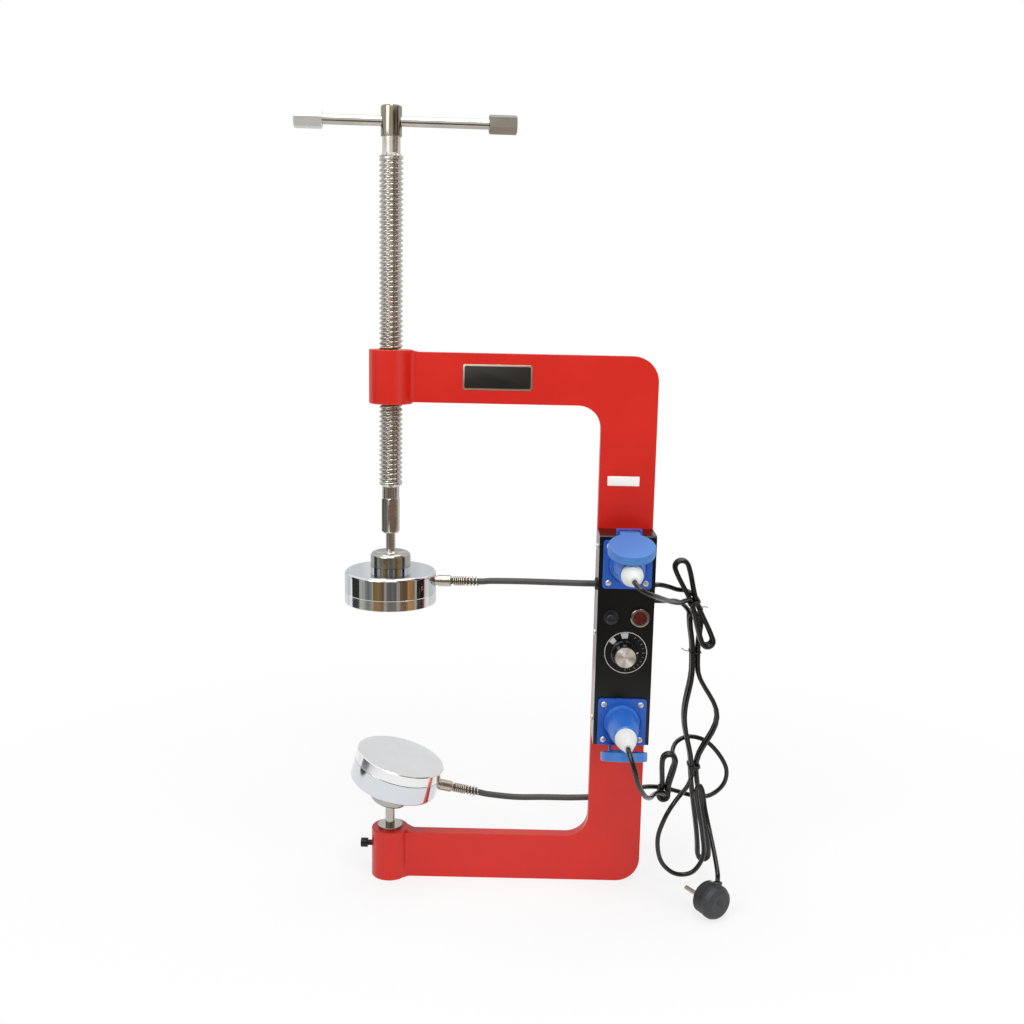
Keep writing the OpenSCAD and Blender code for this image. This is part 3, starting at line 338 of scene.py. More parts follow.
# Moulded PVC: matt dark grey with a cloudy bloom and a fine moulding texture, blacker on the insert; past the
# insert's face it is a bright pin
plug_pvc, tree, where = new_material("moulded_pvc_and_pins")
plug_stance = (math.pi / 2, 0, plug_turn + math.pi / 2)
local = add(tree, "ShaderNodeMapping", {"vector_type": "TEXTURE", "Location": plug_at / 1000,
                                        "Rotation": plug_stance}, {"Vector": where})
apart = add(tree, "ShaderNodeSeparateXYZ", {}, {"Vector": local})
pin, insert = (add(tree, "ShaderNodeMath", {"operation": "GREATER_THAN", 1: start / 1000},
                   {0: apart.outputs["Z"]}) for start in (pin_start, 0))
bloom = add(tree, "ShaderNodeTexNoise", {"Scale": grain(4), "Detail": 4}, {"Vector": where})
skin = add(tree, "ShaderNodeTexNoise", {"Scale": grain(0.8), "Detail": 2}, {"Vector": where})
tone = add(tree, "ShaderNodeMix", {"data_type": "RGBA", 6: linear("#26282a"), 7: linear("#3a3d3e")},
           {0: bloom})
for part, colour in ((insert, "#1f2123"), (pin, "#b9b4ab")):
    tone = add(tree, "ShaderNodeMix", {"data_type": "RGBA", 7: linear(colour)}, {0: part, 6: tone.outputs[2]})
rough = add(tree, "ShaderNodeMapRange", {"To Min": 0.55, "To Max": 0.25}, {"Value": pin})
bump = add(tree, "ShaderNodeBump", {"Strength": 0.15, "Distance": 0.0002}, {"Height": skin})
shader = add(tree, "ShaderNodeBsdfPrincipled", {"IOR": 1.53}, {"Base Color": tone.outputs[2], "Metallic": pin,
                                                               "Roughness": rough, "Normal": bump})
add(tree, "ShaderNodeOutputMaterial", {}, {"Surface": shader})


def paint(node, material, edge=0.0):
    piece = nodes[node]
    piece.data.materials.clear()
    piece.data.materials.append(material)
    if edge:
        bevel = piece.modifiers.new("edge", "BEVEL")
        bevel.width = edge / 1000
        bevel.segments = 2
        bevel.limit_method = "ANGLE"
        bevel.angle_limit = math.radians(40)
        bevel.use_clamp_overlap = True


paint("mains_plug", plug_pvc, 0.3)
for name, angle in (("earth_strip_top", 110), ("earth_strip_bottom", -70)):
    out = math.cos(math.radians(angle)) * plug_side + math.sin(math.radians(angle)) * np.array([0, 0, 1])
    across = np.cross(out, plug_axis)
    strip = flat_plate(name, strip_long, strip_wide, 0.8, strip_thick, 0.2, lambda u, v, t: (
        plug_at + plug_axis * (strip_middle + u) + across * v + out * (insert_r - strip_sunk + t)))
    finish_piece(strip, nickel, "frame")

relief_dir = unit(np.array([0, 0.3, 0.95]))
relief_end = plug_at - relief_back * plug_axis + relief_long * relief_dir
mains_hank = {"tie": (332, 22, 127), "lean": 2, "up": 166, "down": 105, "top_r": 6, "low_r": 6,
              "left_belly": 8, "right_belly": 22, "drift": 12, "narrow": 0.8, "side": 1, "first": 0,
              "last": 53, "deep": -1}
mains_loops = hank_points(mains_hank)
mains_in = curve_through([(270.75, -24.5, 322), (276.75, -24.5, 322), (282.75, -24.5, 322), (292, -16, 320),
                          (302, -2, 316.5), (312, 14, 309), ahead(mains_loops[::-1]), mains_loops[0]])
mains_out = curve_through([mains_loops[-1], ahead(mains_loops), (323, -3, 109), (310, -19, 101),
                           (298, -27, 85), (291, -25, 59), (296, -20, 31), (312, -17, 15), (331, -17, 17),
                           (342, -17, 36), (340, -16, 62), (335, -15, 88), (331.5, -15, 108), (334, -16, 117),
                           (338, -17, 110), (341, -20, 92), (345, -32, 72), (347, -54, 58),
                           relief_end + relief_lead * relief_dir, relief_end])
flex("mains_cord", mains_in[:-1] + mains_loops + mains_out[1:],
     ["mains_cord_box", "mains_hank", "mains_cord_plug"])

# Cable ties: a black nylon band pulled tight round the waist of each hank, with its square lock in front,
# and two thin twisted wires, whose ends stick out beside the bundle. The nylon is satin, with small scuffs.
black_nylon = mottled("black_nylon", 1.5, "#141414", "#262626", (0.35, 0.5), {"IOR": 1.53}, detail=3)
wrap_half, wire_end_r = 2.6, 0.45
band, wire = (2.6, 1.1), (0.9, 0.7)
lock_wide, lock_high, lock_deep, lock_aside, lock_start = 4.6, 4.2, 3.4, 1, 0.2
tail_start, tail_forward, tail_points = 0.3, 1.5, 7
for name, hank, at, (wide, thick), end in (
        ("upper_tie", upper_hank, 1, band, None), ("lower_tie", lower_hank, 0, band, None),
        ("mains_tie", mains_hank, 0, band, None), ("upper_wire", upper_hank, -8, wire, (1, 6, -2)),
        ("mains_wire", mains_hank, 130, wire, (-1, 9, 4))):
    deep = hank["deep"] * loop_step * (hank["last"] - hank["first"]) / loop_marks
    half = hank_half(hank, at, 0) + wrap_half
    reach = abs(deep) / 2 + wrap_half
    loops = [[(x, y, v) for x, y in rounded_outline(2 * (half + grow), 2 * (reach + grow), wrap_half + grow)]
             for grow, v in ((0, -wide / 2), (thick, -wide / 2), (thick, wide / 2), (0, wide / 2))]
    tie = layered(name, loops, lambda u, y, v: hank_place(hank, u, at + v, deep / 2 + y), True)
    finish_piece(tie, black_nylon, "frame")
    if end is None:
        lock = flat_plate(name + "_lock", lock_wide, lock_high, 0.8, lock_deep, 0.5, lambda u, v, t: (
            hank_place(hank, u + lock_aside, at + v, deep / 2 - reach - lock_start - t)))
        finish_piece(lock, black_nylon, "frame")
    else:
        to, length, lift = end
        tail = [hank_place(hank, to * (half + tail_start + length * t), at + lift * t ** 2,
                           deep / 2 - tail_forward * t) for t in np.linspace(0, 1, tail_points)]
        finish_piece(tube(name + "_end", tail, wire_end_r, 8), black_nylon, "frame")

# Heater sleeves: a thick tube of dull, chalky rubber over each heater's wires, from its gland to the box or
# behind the column. The upper heater tilts on the press, which slides, and its sleeve is two lengths that
# meet in mid-air.
sleeve_rubber = mottled("sleeve_rubber", 14, "#333330", "#4a4a46", (0.38, 0.55), {"IOR": 1.52})
ball_z, lower_ball_z = 354.5, 93
gland_end, gland_drop = 64.5, 21.75
lean, lean_turn, lower_gland_turn = math.radians(15.5), math.radians(-4), math.radians(10)
sleeve_d, sleeve_step, sleeve_meet = 6.6, 2.5, 112


def on_lower_heater(p):
    # The lower heater is the upper one turned over and tilted on its ball
    turn = (Matrix.Rotation(lean_turn, 3, "Z") @ Matrix.Rotation(lean, 3, "Y")
            @ Matrix.Rotation(lower_gland_turn - lean_turn, 3, "Z") @ Matrix.Rotation(math.pi, 3, "X"))
    return np.array(turn @ Vector(p)) + np.array([0, 0, lower_ball_z])


gland_z = ball_z - gland_drop
straight, upper_lift = (0, 17, 32.2, 42.2), (0, 0, 0, 0.8)
upper_route = [(gland_end + t, 0, gland_z + lift) for t, lift in zip(straight, upper_lift)] + [
    (137, -7, 335.5), (167, -17, 337.6), (198.25, -24.5, 339), (210.25, -24.5, 339), (219.75, -24.5, 339)]
lower_route = [on_lower_heater((gland_end + t, 0, -gland_drop)) for t in straight] + [
    (137, 20, 83), (168, 19, 84), (200, 15, 86), (225, 14, 88), (245, 14, 92)]
upper_points = evened(curve_through(upper_route), sleeve_step)
lower_points = evened(curve_through(lower_route), sleeve_step)
meet = next(i for i, p in enumerate(upper_points) if p[0] > sleeve_meet)
for name, node, points, stays, goes, hold, free in (
        ("upper_heater_sleeve", "upper_sleeve", upper_points[:meet + 1], "carriage", "upper_heater",
         (0.1115, 0, 0.3328), (0.0975, 0, 0.3328)),
        ("upper_box_sleeve", "upper_sleeve", upper_points[meet:], "frame", "carriage",
         (0.205, -0.0245, 0.339), (0.113, -0.001, 0.3335)),
        ("lower_heater_sleeve", "lower_sleeve", lower_points, "frame", "lower_heater",
         (0.190, 0.016, 0.0855), (0.097, 0.0165, 0.089))):
    sleeve = tube(name, points, sleeve_d / 2, 16)
    sleeve.data.materials.append(sleeve_rubber)
    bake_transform(sleeve)
    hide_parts(node)
    length = float(step_lengths(points).sum()) / 1000

# Frame: one iron casting, fettled and sprayed with red enamel; it stands on the lower arm and boss.
# The enamel lies thick: soft gloss with an orange-peel of 2 mm, waves of 25 mm, and tone clouds of 70 mm.
red_enamel, tree, where = new_material("red_enamel")
cloud = add(tree, "ShaderNodeTexNoise", {"Scale": grain(70), "Detail": 3}, {"Vector": where})
wave = add(tree, "ShaderNodeTexNoise", {"Scale": grain(25), "Detail": 2}, {"Vector": where})
peel = add(tree, "ShaderNodeTexNoise", {"Scale": grain(2.4), "Detail": 2, "Roughness": 0.4},
           {"Vector": where})
tone = add(tree, "ShaderNodeMix", {"data_type": "RGBA", 6: linear("#c0170a"), 7: linear("#d61e0c")},
           {0: cloud})
rough = add(tree, "ShaderNodeMapRange", {"To Min": 0.26, "To Max": 0.38}, {"Value": cloud})
height = add(tree, "ShaderNodeMath", {"operation": "MULTIPLY_ADD", 1: 4.0}, {0: wave, 2: peel})
bump = add(tree, "ShaderNodeBump", {"Strength": 0.10, "Distance": 0.0004}, {"Height": height})
shader = add(tree, "ShaderNodeBsdfPrincipled", {"IOR": 1.5}, {"Base Color": tone.outputs[2],
                                                              "Roughness": rough, "Normal": bump})
add(tree, "ShaderNodeOutputMaterial", {}, {"Surface": shader})
paint("c_frame", red_enamel, 0.7)

# Nut: a bush of yellowish bronze, turned on a lathe and pressed into the upper boss, so only its ends show.
# The tool has left rings on them, drawn 1 mm apart so that they show.
ring_scale = 1000 * math.pi / 10  # a wave pattern's scale for rings 1 mm apart
turned_bronze, tree, where = new_material("turned_bronze")
lathe = add(tree, "ShaderNodeTexWave", {"wave_type": "RINGS", "rings_direction": "Z", "Scale": ring_scale,
                                        "Distortion": 1}, {"Vector": where})
bump = add(tree, "ShaderNodeBump", {"Strength": 0.15, "Distance": 0.0001}, {"Height": lathe})
shader = add(tree, "ShaderNodeBsdfPrincipled", {"Base Color": linear("#b08d4a"), "Metallic": 1,
                                                "Roughness": 0.3}, {"Normal": bump})
add(tree, "ShaderNodeOutputMaterial", {}, {"Surface": shader})
paint("spindle_nut", turned_bronze)

# Name plate and label: a bare stamped plate with a bright rim round black enamel, and a blank paper sticker.
# Both are stuck to the front of the casting. The enamel is glossy and specked, the aluminium keeps its marks
# of rolling, and the paper is matt with faint fibres.
casting_front = -7


def on_front(x, z, y):
    return lambda u, v, t: np.array([x + u, y - t, z + v])


black_enamel = mottled("black_enamel", 2, "#141210", "#221f1b", (0.25, 0.4), {"IOR": 1.5}, detail=3)
stamped_aluminium = mottled("stamped_aluminium", 1.2, "#cfc6b2", None, (0.25, 0.4), {"Metallic": 1}, detail=2)
label_paper = mottled("label_paper", 1.1, "#e3e2dd", "#f1f0ec", None, {"Roughness": 0.55, "IOR": 1.45})
plate_place = on_front(109.5, 548, casting_front)
label_place = on_front(241.5, 444, casting_front)
for plate, finish, slot in (
        (flat_plate("plate_rim", 71, 26, 2.5, 0.7, 0.3, plate_place), stamped_aluminium, "plate_aluminium"),
        (flat_plate("plate_field", 67.6, 22.6, 1.8, 1.0, 0.3, plate_place), black_enamel, "black_paint"),
        (flat_plate("blank_label", 33, 10, 0.6, 0.25, 0.05, label_place), label_paper, "white_plastic")):
    finish_piece(plate, finish, "frame")

# Spindle: nickel plated steel screw with a rolled thread, a plain neck and a head that is drilled across for
# the bar, and below the thread a collar, a hexagon for a spanner and the rod that turns in the ball.
# The plate is pale and satin on the screw, and darker on the head, where it also shines more.
satin_nickel = mottled("satin_nickel_plate", 17, "#b9b4ac", "#cfcbc5", (0.18, 0.28), {"Metallic": 1},
                       detail=5)
# A darker copy of the nickel: on the spindle's head, and as painted shade on the right bar cap
darker_nickel = mottled("darker_nickel_plate", 12, "#7f796d", "#979186", (0.1, 0.2), {"Metallic": 1},
                        detail=5)
rod_low, head_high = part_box("spindle")[0][2] * 1000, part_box("spindle")[1][2] * 1000
hex_low, hex_high, hex_across, hex_turn = 384, 421, 17, 24
thread_low, thread_high, neck_high = 435.5, 763.5, 782.5
lead, thread_depth, thread_fade, around = 5.0, 2.1, 4, 60
rod_r, hex_end_r, collar_r, thread_r, neck_r, head_r = 5, 8.2, 8.9, 12, 9, 10.5


def thread_radius(z, turn):
    phase = abs(((z / lead - turn) % 1) - 0.5) * 2
    groove = smooth_step(min(max((phase - 0.1) / 0.8, 0), 1))
    fade = smooth_step(min(max(min(z - thread_low, thread_high - z) / thread_fade, 0), 1))
    return thread_r - thread_depth * groove * fade


def hexagon_radius(turn, limit):
    from_flat = math.radians((turn * 360 - hex_turn) % 60 - 30)
    return min(hex_across / 2 / math.cos(from_flat), limit)


def spindle_row(z, radius):
    # The radius is one number, or a function of the share of a turn
    return [(radius(k / around) if callable(radius) else radius, 2 * math.pi * k / around, z)
            for k in range(around)]


chamfer = (0.3, 0.9, 1.7)
rows = [(rod_low, rod_r - 0.6), (rod_low + 0.6, rod_r), (hex_low, rod_r), (hex_low, hex_end_r)]
rows += [(hex_low + k, lambda t, k=k: hexagon_radius(t, hex_end_r + k)) for k in chamfer]
rows += [(hex_high - k, lambda t, k=k: hexagon_radius(t, hex_end_r + k)) for k in chamfer[::-1]]
rows += [(hex_high, hex_end_r), (hex_high, collar_r), (thread_low - 3, collar_r)]
rows += [(z, lambda t, z=z: thread_radius(z, t)) for z in np.arange(thread_low, thread_high + 0.1, 0.5)]
rows += [(thread_high + 3, neck_r), (neck_high, neck_r), (neck_high, head_r - 0.4), (neck_high + 0.5, head_r),
         (head_high - 1.5, head_r), (head_high - 0.6, head_r - 0.4), (head_high, head_r - 1.5)]
loops = [spindle_row(z, radius) for z, radius in rows]
spindle = layered("threaded_spindle", loops, lambda r, a, z: np.array([r * math.cos(a), r * math.sin(a), z]))
finish_piece(spindle, satin_nickel, "spindle")
spindle.data.materials.append(darker_nickel)
for face in spindle.data.polygons:
    face.material_index = int(face.center.z > neck_high / 1000)
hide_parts("spindle")

# Tommy bar and other plated steel: a drawn bar that slides through the head with a hexagonal cap pinned on
# each end, the ball, the stem and its washer, and the pins of the two lids. The two caps are lit and shaded
# copies of one part: the left cap is painted lit in the screws' bright zinc, almost white and finely
# scratched;
# the right one is painted in shade with the darker nickel of the spindle's head.
# Bright zinc for the screws; on the left bar cap the same near-white is a painted highlight
bright_zinc_and_painted_light = mottled("bright_zinc_and_painted_light", 0.6, "#e2e2df", None, (0.3, 0.45), {"Metallic": 0.75}, detail=2)
for node in ("tommy_bar", "swivel_ball", "stem_washer", "lower_stem", "upper_lid_pin", "lower_lid_pin"):
    paint(node, nickel)
paint("bar_cap_left", bright_zinc_and_painted_light, 0.4)
paint("bar_cap_right", darker_nickel, 0.4)

# Heaters: a pressed housing with mirror-bright chrome, a ring nut with satin chrome, and a cast aluminium
# plate over a brown, flaky mica element and a pale pad of mineral wool. The lathe leaves the plate's face
# matt, with rings 1.2 mm apart; its rim is polished, so the two finishes part by the face's direction.
bright_chrome = mottled("bright_chrome", 40, "#d8dce0", None, (0.03, 0.08), {"Metallic": 1})
satin_chrome = mottled("satin_chrome", 9, "#b2b2ac", None, (0.16, 0.26), {"Metallic": 1})
mica_sheet = mottled("mica_sheet", 4.5, "#5d4a3b", "#8d7358", None, {"Roughness": 0.5},
                     "ShaderNodeTexVoronoi", 0)
mineral_wool = mottled("mineral_wool", 3, "#cfc8b8", "#ece7db", None, {"Roughness": 0.95}, detail=6)
for heater in ("upper", "lower"):
    paint(heater + "_housing", bright_chrome)
    paint(heater + "_ring_nut", satin_chrome)
    paint(heater + "_element", mica_sheet)
    paint(heater + "_insulation", mineral_wool)

lower_axis = on_lower_heater((0, 0, 1)) - on_lower_heater((0, 0, 0))
for node, centre, turn, axis in (("upper_plate", ball_z, (0, 0, 0), (0, 0, 1)),
                                 ("lower_plate", lower_ball_z, (0, lean, lean_turn), lower_axis)):
    turned_aluminium, tree, where = new_material("turned_aluminium_" + node)
    local = add(tree, "ShaderNodeMapping", {"vector_type": "TEXTURE", "Location": (0, 0, centre / 1000),
                                            "Rotation": turn}, {"Vector": where})
    lathe = add(tree, "ShaderNodeTexWave", {"wave_type": "RINGS", "rings_direction": "Z",
                                            "Scale": ring_scale / 1.2, "Distortion": 0.4}, {"Vector": local})
    blot = add(tree, "ShaderNodeTexNoise", {"Scale": grain(22), "Detail": 4}, {"Vector": where})
    facing = add(tree, "ShaderNodeVectorMath", {"operation": "DOT_PRODUCT", 1: axis},
                 {0: add(tree, "ShaderNodeTexCoord").outputs["Normal"]}).outputs["Value"]
    facing = add(tree, "ShaderNodeMath", {"operation": "ABSOLUTE"}, {0: facing})
    face = add(tree, "ShaderNodeMapRange", {"From Min": 0.8, "From Max": 0.95}, {"Value": facing})
    matt = add(tree, "ShaderNodeMapRange", {"To Min": 0.3, "To Max": 0.42}, {"Value": blot})
    rough = add(tree, "ShaderNodeMix", {2: 0.15}, {0: face, 3: matt})
    cut = add(tree, "ShaderNodeMath", {"operation": "MULTIPLY"}, {0: face, 1: lathe})
    bump = add(tree, "ShaderNodeBump", {"Strength": 0.08, "Distance": 0.0001}, {"Height": cut})
    tone = add(tree, "ShaderNodeMix", {"data_type": "RGBA", 6: linear("#e9eae9"), 7: linear("#f4f5f4")},
               {0: blot})
    shader = add(tree, "ShaderNodeBsdfPrincipled", {"Metallic": 1}, {"Base Color": tone.outputs[2],
                                                                     "Roughness": rough, "Normal": bump})
    add(tree, "ShaderNodeOutputMaterial", {}, {"Surface": shader})
    paint(node, turned_aluminium)

# Cable glands: turned brass with nickel plate, each with a strain-relief spring of hard 1.6 mm wire, wound
# close for six curls and open for four. The plate is thin, so the brass shows through warm in stains of 5 mm.
nickelled_brass = mottled("nickelled_brass", 5, "#a8a093", "#cfc8bb", (0.16, 0.3), {"Metallic": 1})
wire_d, coil_r, curl_steps = 1.6, 4.4, 32
close_curls, open_curls, close_pitch, open_pitch = 6, 4, 2.1, 3.6
coil = [(gland_end, coil_r, 0)]
for k in range((close_curls + open_curls) * curl_steps + 1):
    t = k / curl_steps
    x = gland_end + wire_d + close_pitch * min(t, close_curls) + open_pitch * max(t - close_curls, 0)
    coil.append((x, coil_r * math.cos(2 * math.pi * t), coil_r * math.sin(2 * math.pi * t)))
coil.append((coil[-1][0] + wire_d, coil_r, 0))
for heater, points in (("upper", [(x, y, z + gland_z) for x, y, z in coil]),
                       ("lower", [on_lower_heater((x, y, z - gland_drop)) for x, y, z in coil])):
    paint(heater + "_gland", nickelled_brass)
    spring = tube(heater + "_relief_spring", points, wire_d / 2, 8)
    finish_piece(spring, nickelled_brass, heater + "_heater")
    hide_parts(heater + "_gland_spring")

# Lock screw: a blackened steel screw through the lower boss that clamps the stem. The oxide is a dark satin,
# sooty in patches of 2.5 mm.
black_oxide = mottled("black_oxide_steel", 2.5, "#161616", "#2c2b2a", (0.28, 0.45), {"Metallic": 0.6})
paint("lock_screw", black_oxide)

# Control box: sheet steel folded over a zinc plated chassis, and held to it by three screws on each side.
# The black paint is sprayed and glossy, with a slight ripple; the chassis shows the zinc's spangle.
gloss_black = mottled("gloss_black_paint", 33, "#090909", "#0f0f0e", (0.16, 0.26), {"IOR": 1.4},
                      skin=(3, 0.05, 0.3))
zinc_plate = mottled("zinc_plate", 8, "#9fa3a6", "#c3c6c8", None, {"Metallic": 1, "Roughness": 0.35},
                     "ShaderNodeTexVoronoi", 0)
paint("box_cover", gloss_black, 0.5)
paint("box_chassis", zinc_plate)
half_lines = (0.12, 0.17, 0.3, 0.56, 0.62, 0.8, 1)
recess_half, recess_reach, recess_depth, rim_share = 0.13, 0.57, 0.6, 0.35


def cross_screw(name, at, out, across, diameter, height):
    # Domed head with a cross recess: a square grid drawn to a disc, pressed in along the cross, with a wall
    at, out, across = np.array(at), unit(np.array(out, float)), unit(np.array(across, float))
    up = np.cross(out, across)
    lines = [-u for u in half_lines[::-1]] + list(half_lines)
    count = len(lines)
    verts = []
    for v in lines:
        for u in lines:
            x, y = u * math.sqrt(1 - v * v / 2), v * math.sqrt(1 - u * u / 2)
            z = height * (rim_share + (1 - rim_share) * math.sqrt(max(1 - x * x - y * y, 0)))
            if min(abs(u), abs(v)) < recess_half and max(abs(u), abs(v)) < recess_reach:
                z -= height * recess_depth
            verts.append((at + diameter / 2 * (x * across + y * up) + z * out) / 1000)
    faces = [(r * count + c, r * count + c + 1, (r + 1) * count + c + 1, (r + 1) * count + c)
             for r in range(count - 1) for c in range(count - 1)]
    rim = list(range(count)) + [r * count + count - 1 for r in range(1, count)]
    rim += [(count - 1) * count + c for c in range(count - 2, -1, -1)]
    rim += [r * count for r in range(count - 2, 0, -1)]
    base = len(verts)
    for k in rim:
        verts.append(verts[k] - np.dot(verts[k] - at / 1000, out) * out)
    faces += [(rim[k], rim[(k + 1) % len(rim)], base + (k + 1) % len(rim), base + k) for k in range(len(rim))]
    faces.append(tuple(range(base, base + len(rim))))
    finish_piece(make_mesh(name, verts, faces, sharp=30), bright_zinc_and_painted_light, "frame")


box_low, box_high = np.array(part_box("box_cover")) * 1000
box_middle, box_screw_levels, box_head = -24.5, (378.7, 287.2, 194.3), (6.5, 2.4)
for k, z in enumerate(box_screw_levels):
    for wall, x, out in (("left", box_low[0], -1), ("right", box_high[0], 1)):
        cross_screw(f"box_screw_{wall}_{k}", (x, box_middle, z), (out, 0, 0), (0, 1, 0), *box_head)

# Sockets, lids and plugs: injection-moulded ABS in three blues, the sockets deepest; the lids are palest,
# their paler blue a painted highlight. All have flow clouds of 28 mm and a fine skin. Each flange is held to
# the panel by four cross-head screws; each plug ends in a white PVC boot, soft enough to let a little light
# in.
column_x, flange_front, screw_half, flange_head = 245.25, -47.5, 19, (6, 1.8)
for name, dark, pale, piece in (("blue_abs", "#184fac", "#2060be", "socket"),
                                ("plug_blue_abs", "#2765c3", "#3577d5", "plug"),
                                # the lids' paler blue is a painted highlight on the same ABS
                                ("blue_abs_painted_highlight", "#3570b9", "#4380c8", "lid")):
    blue_abs = mottled(name, 28, dark, pale, (0.3, 0.42), {"IOR": 1.53}, detail=3, skin=(0.9, 0.06, 0.2))
    paint("upper_" + piece, blue_abs, 0.5)
    paint("lower_" + piece, blue_abs, 0.5)
white_pvc = mottled("white_pvc", 8, "#dfe1de", "#eceeea", (0.35, 0.5), detail=3, settings={
    "IOR": 1.5, "Subsurface Weight": 0.1, "Subsurface Radius": (0.004, 0.004, 0.004)})
for name, z in (("upper", 364.5), ("lower", 197.5)):
    paint(name + "_boot", white_pvc, 0.8)
    for k, (sx, sz) in enumerate(((-1, -1), (1, -1), (-1, 1), (1, 1))):
        at = (column_x + screw_half * sx, flange_front, z + screw_half * sz)
        cross_screw(f"{name}_flange_screw_{k}", at, (0, -1, 0), (1, 0, 0.3), *flange_head)

# Fuse holder and pilot lamp: a phenolic holder with a slotted cap, and a plated bezel round a prismatic lens.
# The phenolic is pressed hot and polished, blue-black and glossy. The bezel's nickel has dulled, and the lens
# is dark red acrylic, moulded with facets of 2 mm.
blue_phenolic = mottled("blue_black_phenolic", 4, "#1c1d22", "#2c2d34", (0.12, 0.2), {"IOR": 1.6})
for node in ("fuse_holder", "fuse_cap"):
    paint(node, blue_phenolic, 0.7)
dull_nickel = mottled("dull_nickel_plate", 3, "#8d807a", "#aea19a", (0.14, 0.26), {"Metallic": 1})
paint("lamp_bezel", dull_nickel)
red_acrylic, tree, where = new_material("red_acrylic")
prism = add(tree, "ShaderNodeTexVoronoi", {"Scale": grain(2)}, {"Vector": where})
tone = add(tree, "ShaderNodeMix", {"data_type": "RGBA", 6: linear("#641311"), 7: linear("#330707")},
           {0: prism})
bump = add(tree, "ShaderNodeBump", {"Strength": 0.35, "Distance": 0.0006}, {"Height": prism})
shader = add(tree, "ShaderNodeBsdfPrincipled", {"IOR": 1.49, "Roughness": 0.12},
             {"Base Color": tone.outputs[2], "Normal": bump})
add(tree, "ShaderNodeOutputMaterial", {}, {"Surface": shader})
paint("lamp_lens", red_acrylic)

# Timer: a scale printed on the panel, and a black phenolic knob with a painted pointer and a spun aluminium
# cap. The print is a thin, slightly patchy layer of ink: a ring, two blocks, and a greyer tick for each step.
# The spinning draws the cap's highlight out into a fan.
phenolic = mottled("black_phenolic", 4, "#0e0e0e", "#1b1b1c", (0.1, 0.2), {"IOR": 1.6})
for node in ("timer_body", "knob"):
    paint(node, phenolic, 0.3)
knob_x, knob_z, panel_y = column_x, 271, box_low[1]
dial_place = on_front(246.8, 271.5, panel_y)
ink, ring_in, ring_out, ring_steps = 0.12, 21.3, 22, 72
printed_ink = mottled("printed_white_ink", 1.5, "#a9a9a7", "#cfcfcc", None, {"Roughness": 0.5}, detail=3)
thin_ink = mottled("thin_grey_ink", 1.5, "#4b4b4a", "#6c6c6a", None, {"Roughness": 0.5}, detail=3)


def clock(r, degrees, t):
    a = math.radians(degrees)
    return r * math.sin(a), r * math.cos(a), t


ring = [[clock(r, 360 * k / ring_steps, t) for k in range(ring_steps)]
        for r, t in ((ring_in, 0), (ring_out, 0), (ring_out, ink), (ring_in, ink))]
finish_piece(layered("dial_ring", ring, dial_place, True), printed_ink, "frame")
marks = [("hold", 15.4, 20.8, -5, 11, printed_ink), ("off", 15.6, 20.8, -48, 9, printed_ink)]
marks += [(f"step_{k}", 17.2, 19.4, 30 + 15 * k, 0.9 if k % 2 else 1.5, thin_ink) for k in range(11)]
for name, low, high, middle, spread, mark_ink in marks:
    corners = [(low, -1)] + [(high, s / 3 - 1) for s in range(7)] + [(low, 1)]
    outline = [[clock(r, middle + spread * s, t) for r, s in corners] for t in (0, ink)]
    finish_piece(layered("dial_" + name, outline, dial_place), mark_ink, "frame")

pointer_turn, pointer_half, paint_proud, paint_sunk = math.radians(84), 0.6, 0.15, 0.5
skirt = [(14.05, 2.4), (12.9, 3.65), (12.1, 5.0)]
profile = [(r + paint_proud, t + paint_proud) for r, t in skirt]
profile += [(r - paint_sunk, t - paint_sunk) for r, t in skirt[::-1]]
outline = [[(w, r, t) for r, t in profile] for w in (-pointer_half, pointer_half)]
pointer = layered("knob_pointer", outline, lambda w, r, t: np.array([
    knob_x + r * math.sin(pointer_turn) + w * math.cos(pointer_turn), panel_y - t,
    knob_z + r * math.cos(pointer_turn) - w * math.sin(pointer_turn)]))
finish_piece(pointer, printed_ink, "knob")
spun_aluminium, tree, where = new_material("spun_aluminium")
spun = add(tree, "ShaderNodeTangent", {"direction_type": "RADIAL", "axis": "Y"})
knob_axis = (knob_x / 1000, 0, knob_z / 1000)
local = add(tree, "ShaderNodeMapping", {"vector_type": "TEXTURE", "Location": knob_axis}, {"Vector": where})
lathe = add(tree, "ShaderNodeTexWave", {"wave_type": "RINGS", "rings_direction": "Y",
                                        "Scale": ring_scale / 0.6}, {"Vector": local})
bump = add(tree, "ShaderNodeBump", {"Strength": 0.06, "Distance": 0.0001}, {"Height": lathe})
shader = add(tree, "ShaderNodeBsdfPrincipled", {"Base Color": linear("#f2ece6"), "Metallic": 1,
                                                "Roughness": 0.5, "Anisotropic": 0.95,
                                                "Anisotropic Rotation": 0.25},
             {"Tangent": spun, "Normal": bump})
add(tree, "ShaderNodeOutputMaterial", {}, {"Surface": shader})
paint("knob_cap", spun_aluminium)

# Grommets: soft black rubber rings snapped into the holes of the box's walls. The rubber is moulded and dull,
# with a bloom of 3 mm.
soft_rubber = mottled("moulded_rubber", 3, "#151515", "#262626", None, {"Roughness": 0.6, "IOR": 1.52})
for node in ("sleeve_grommet", "lead_grommet", "mains_grommet"):
    paint(node, soft_rubber)

# Studio: a white floor that runs into a white sky, four soft lamps, and a ring of upright boards in room
# colours that only the metal and the gloss can see. Near the press the floor is lit, so it keeps the press's
# shadow.
floor_half, floor_middle = 4, (0.15, -0.05, 0)


def seen_directly(tree):
    paths = add(tree, "ShaderNodeLightPath").outputs
    return add(tree, "ShaderNodeMath", {"operation": "MAXIMUM"},
               {0: paths["Is Camera Ray"], 1: paths["Is Glossy Ray"]})


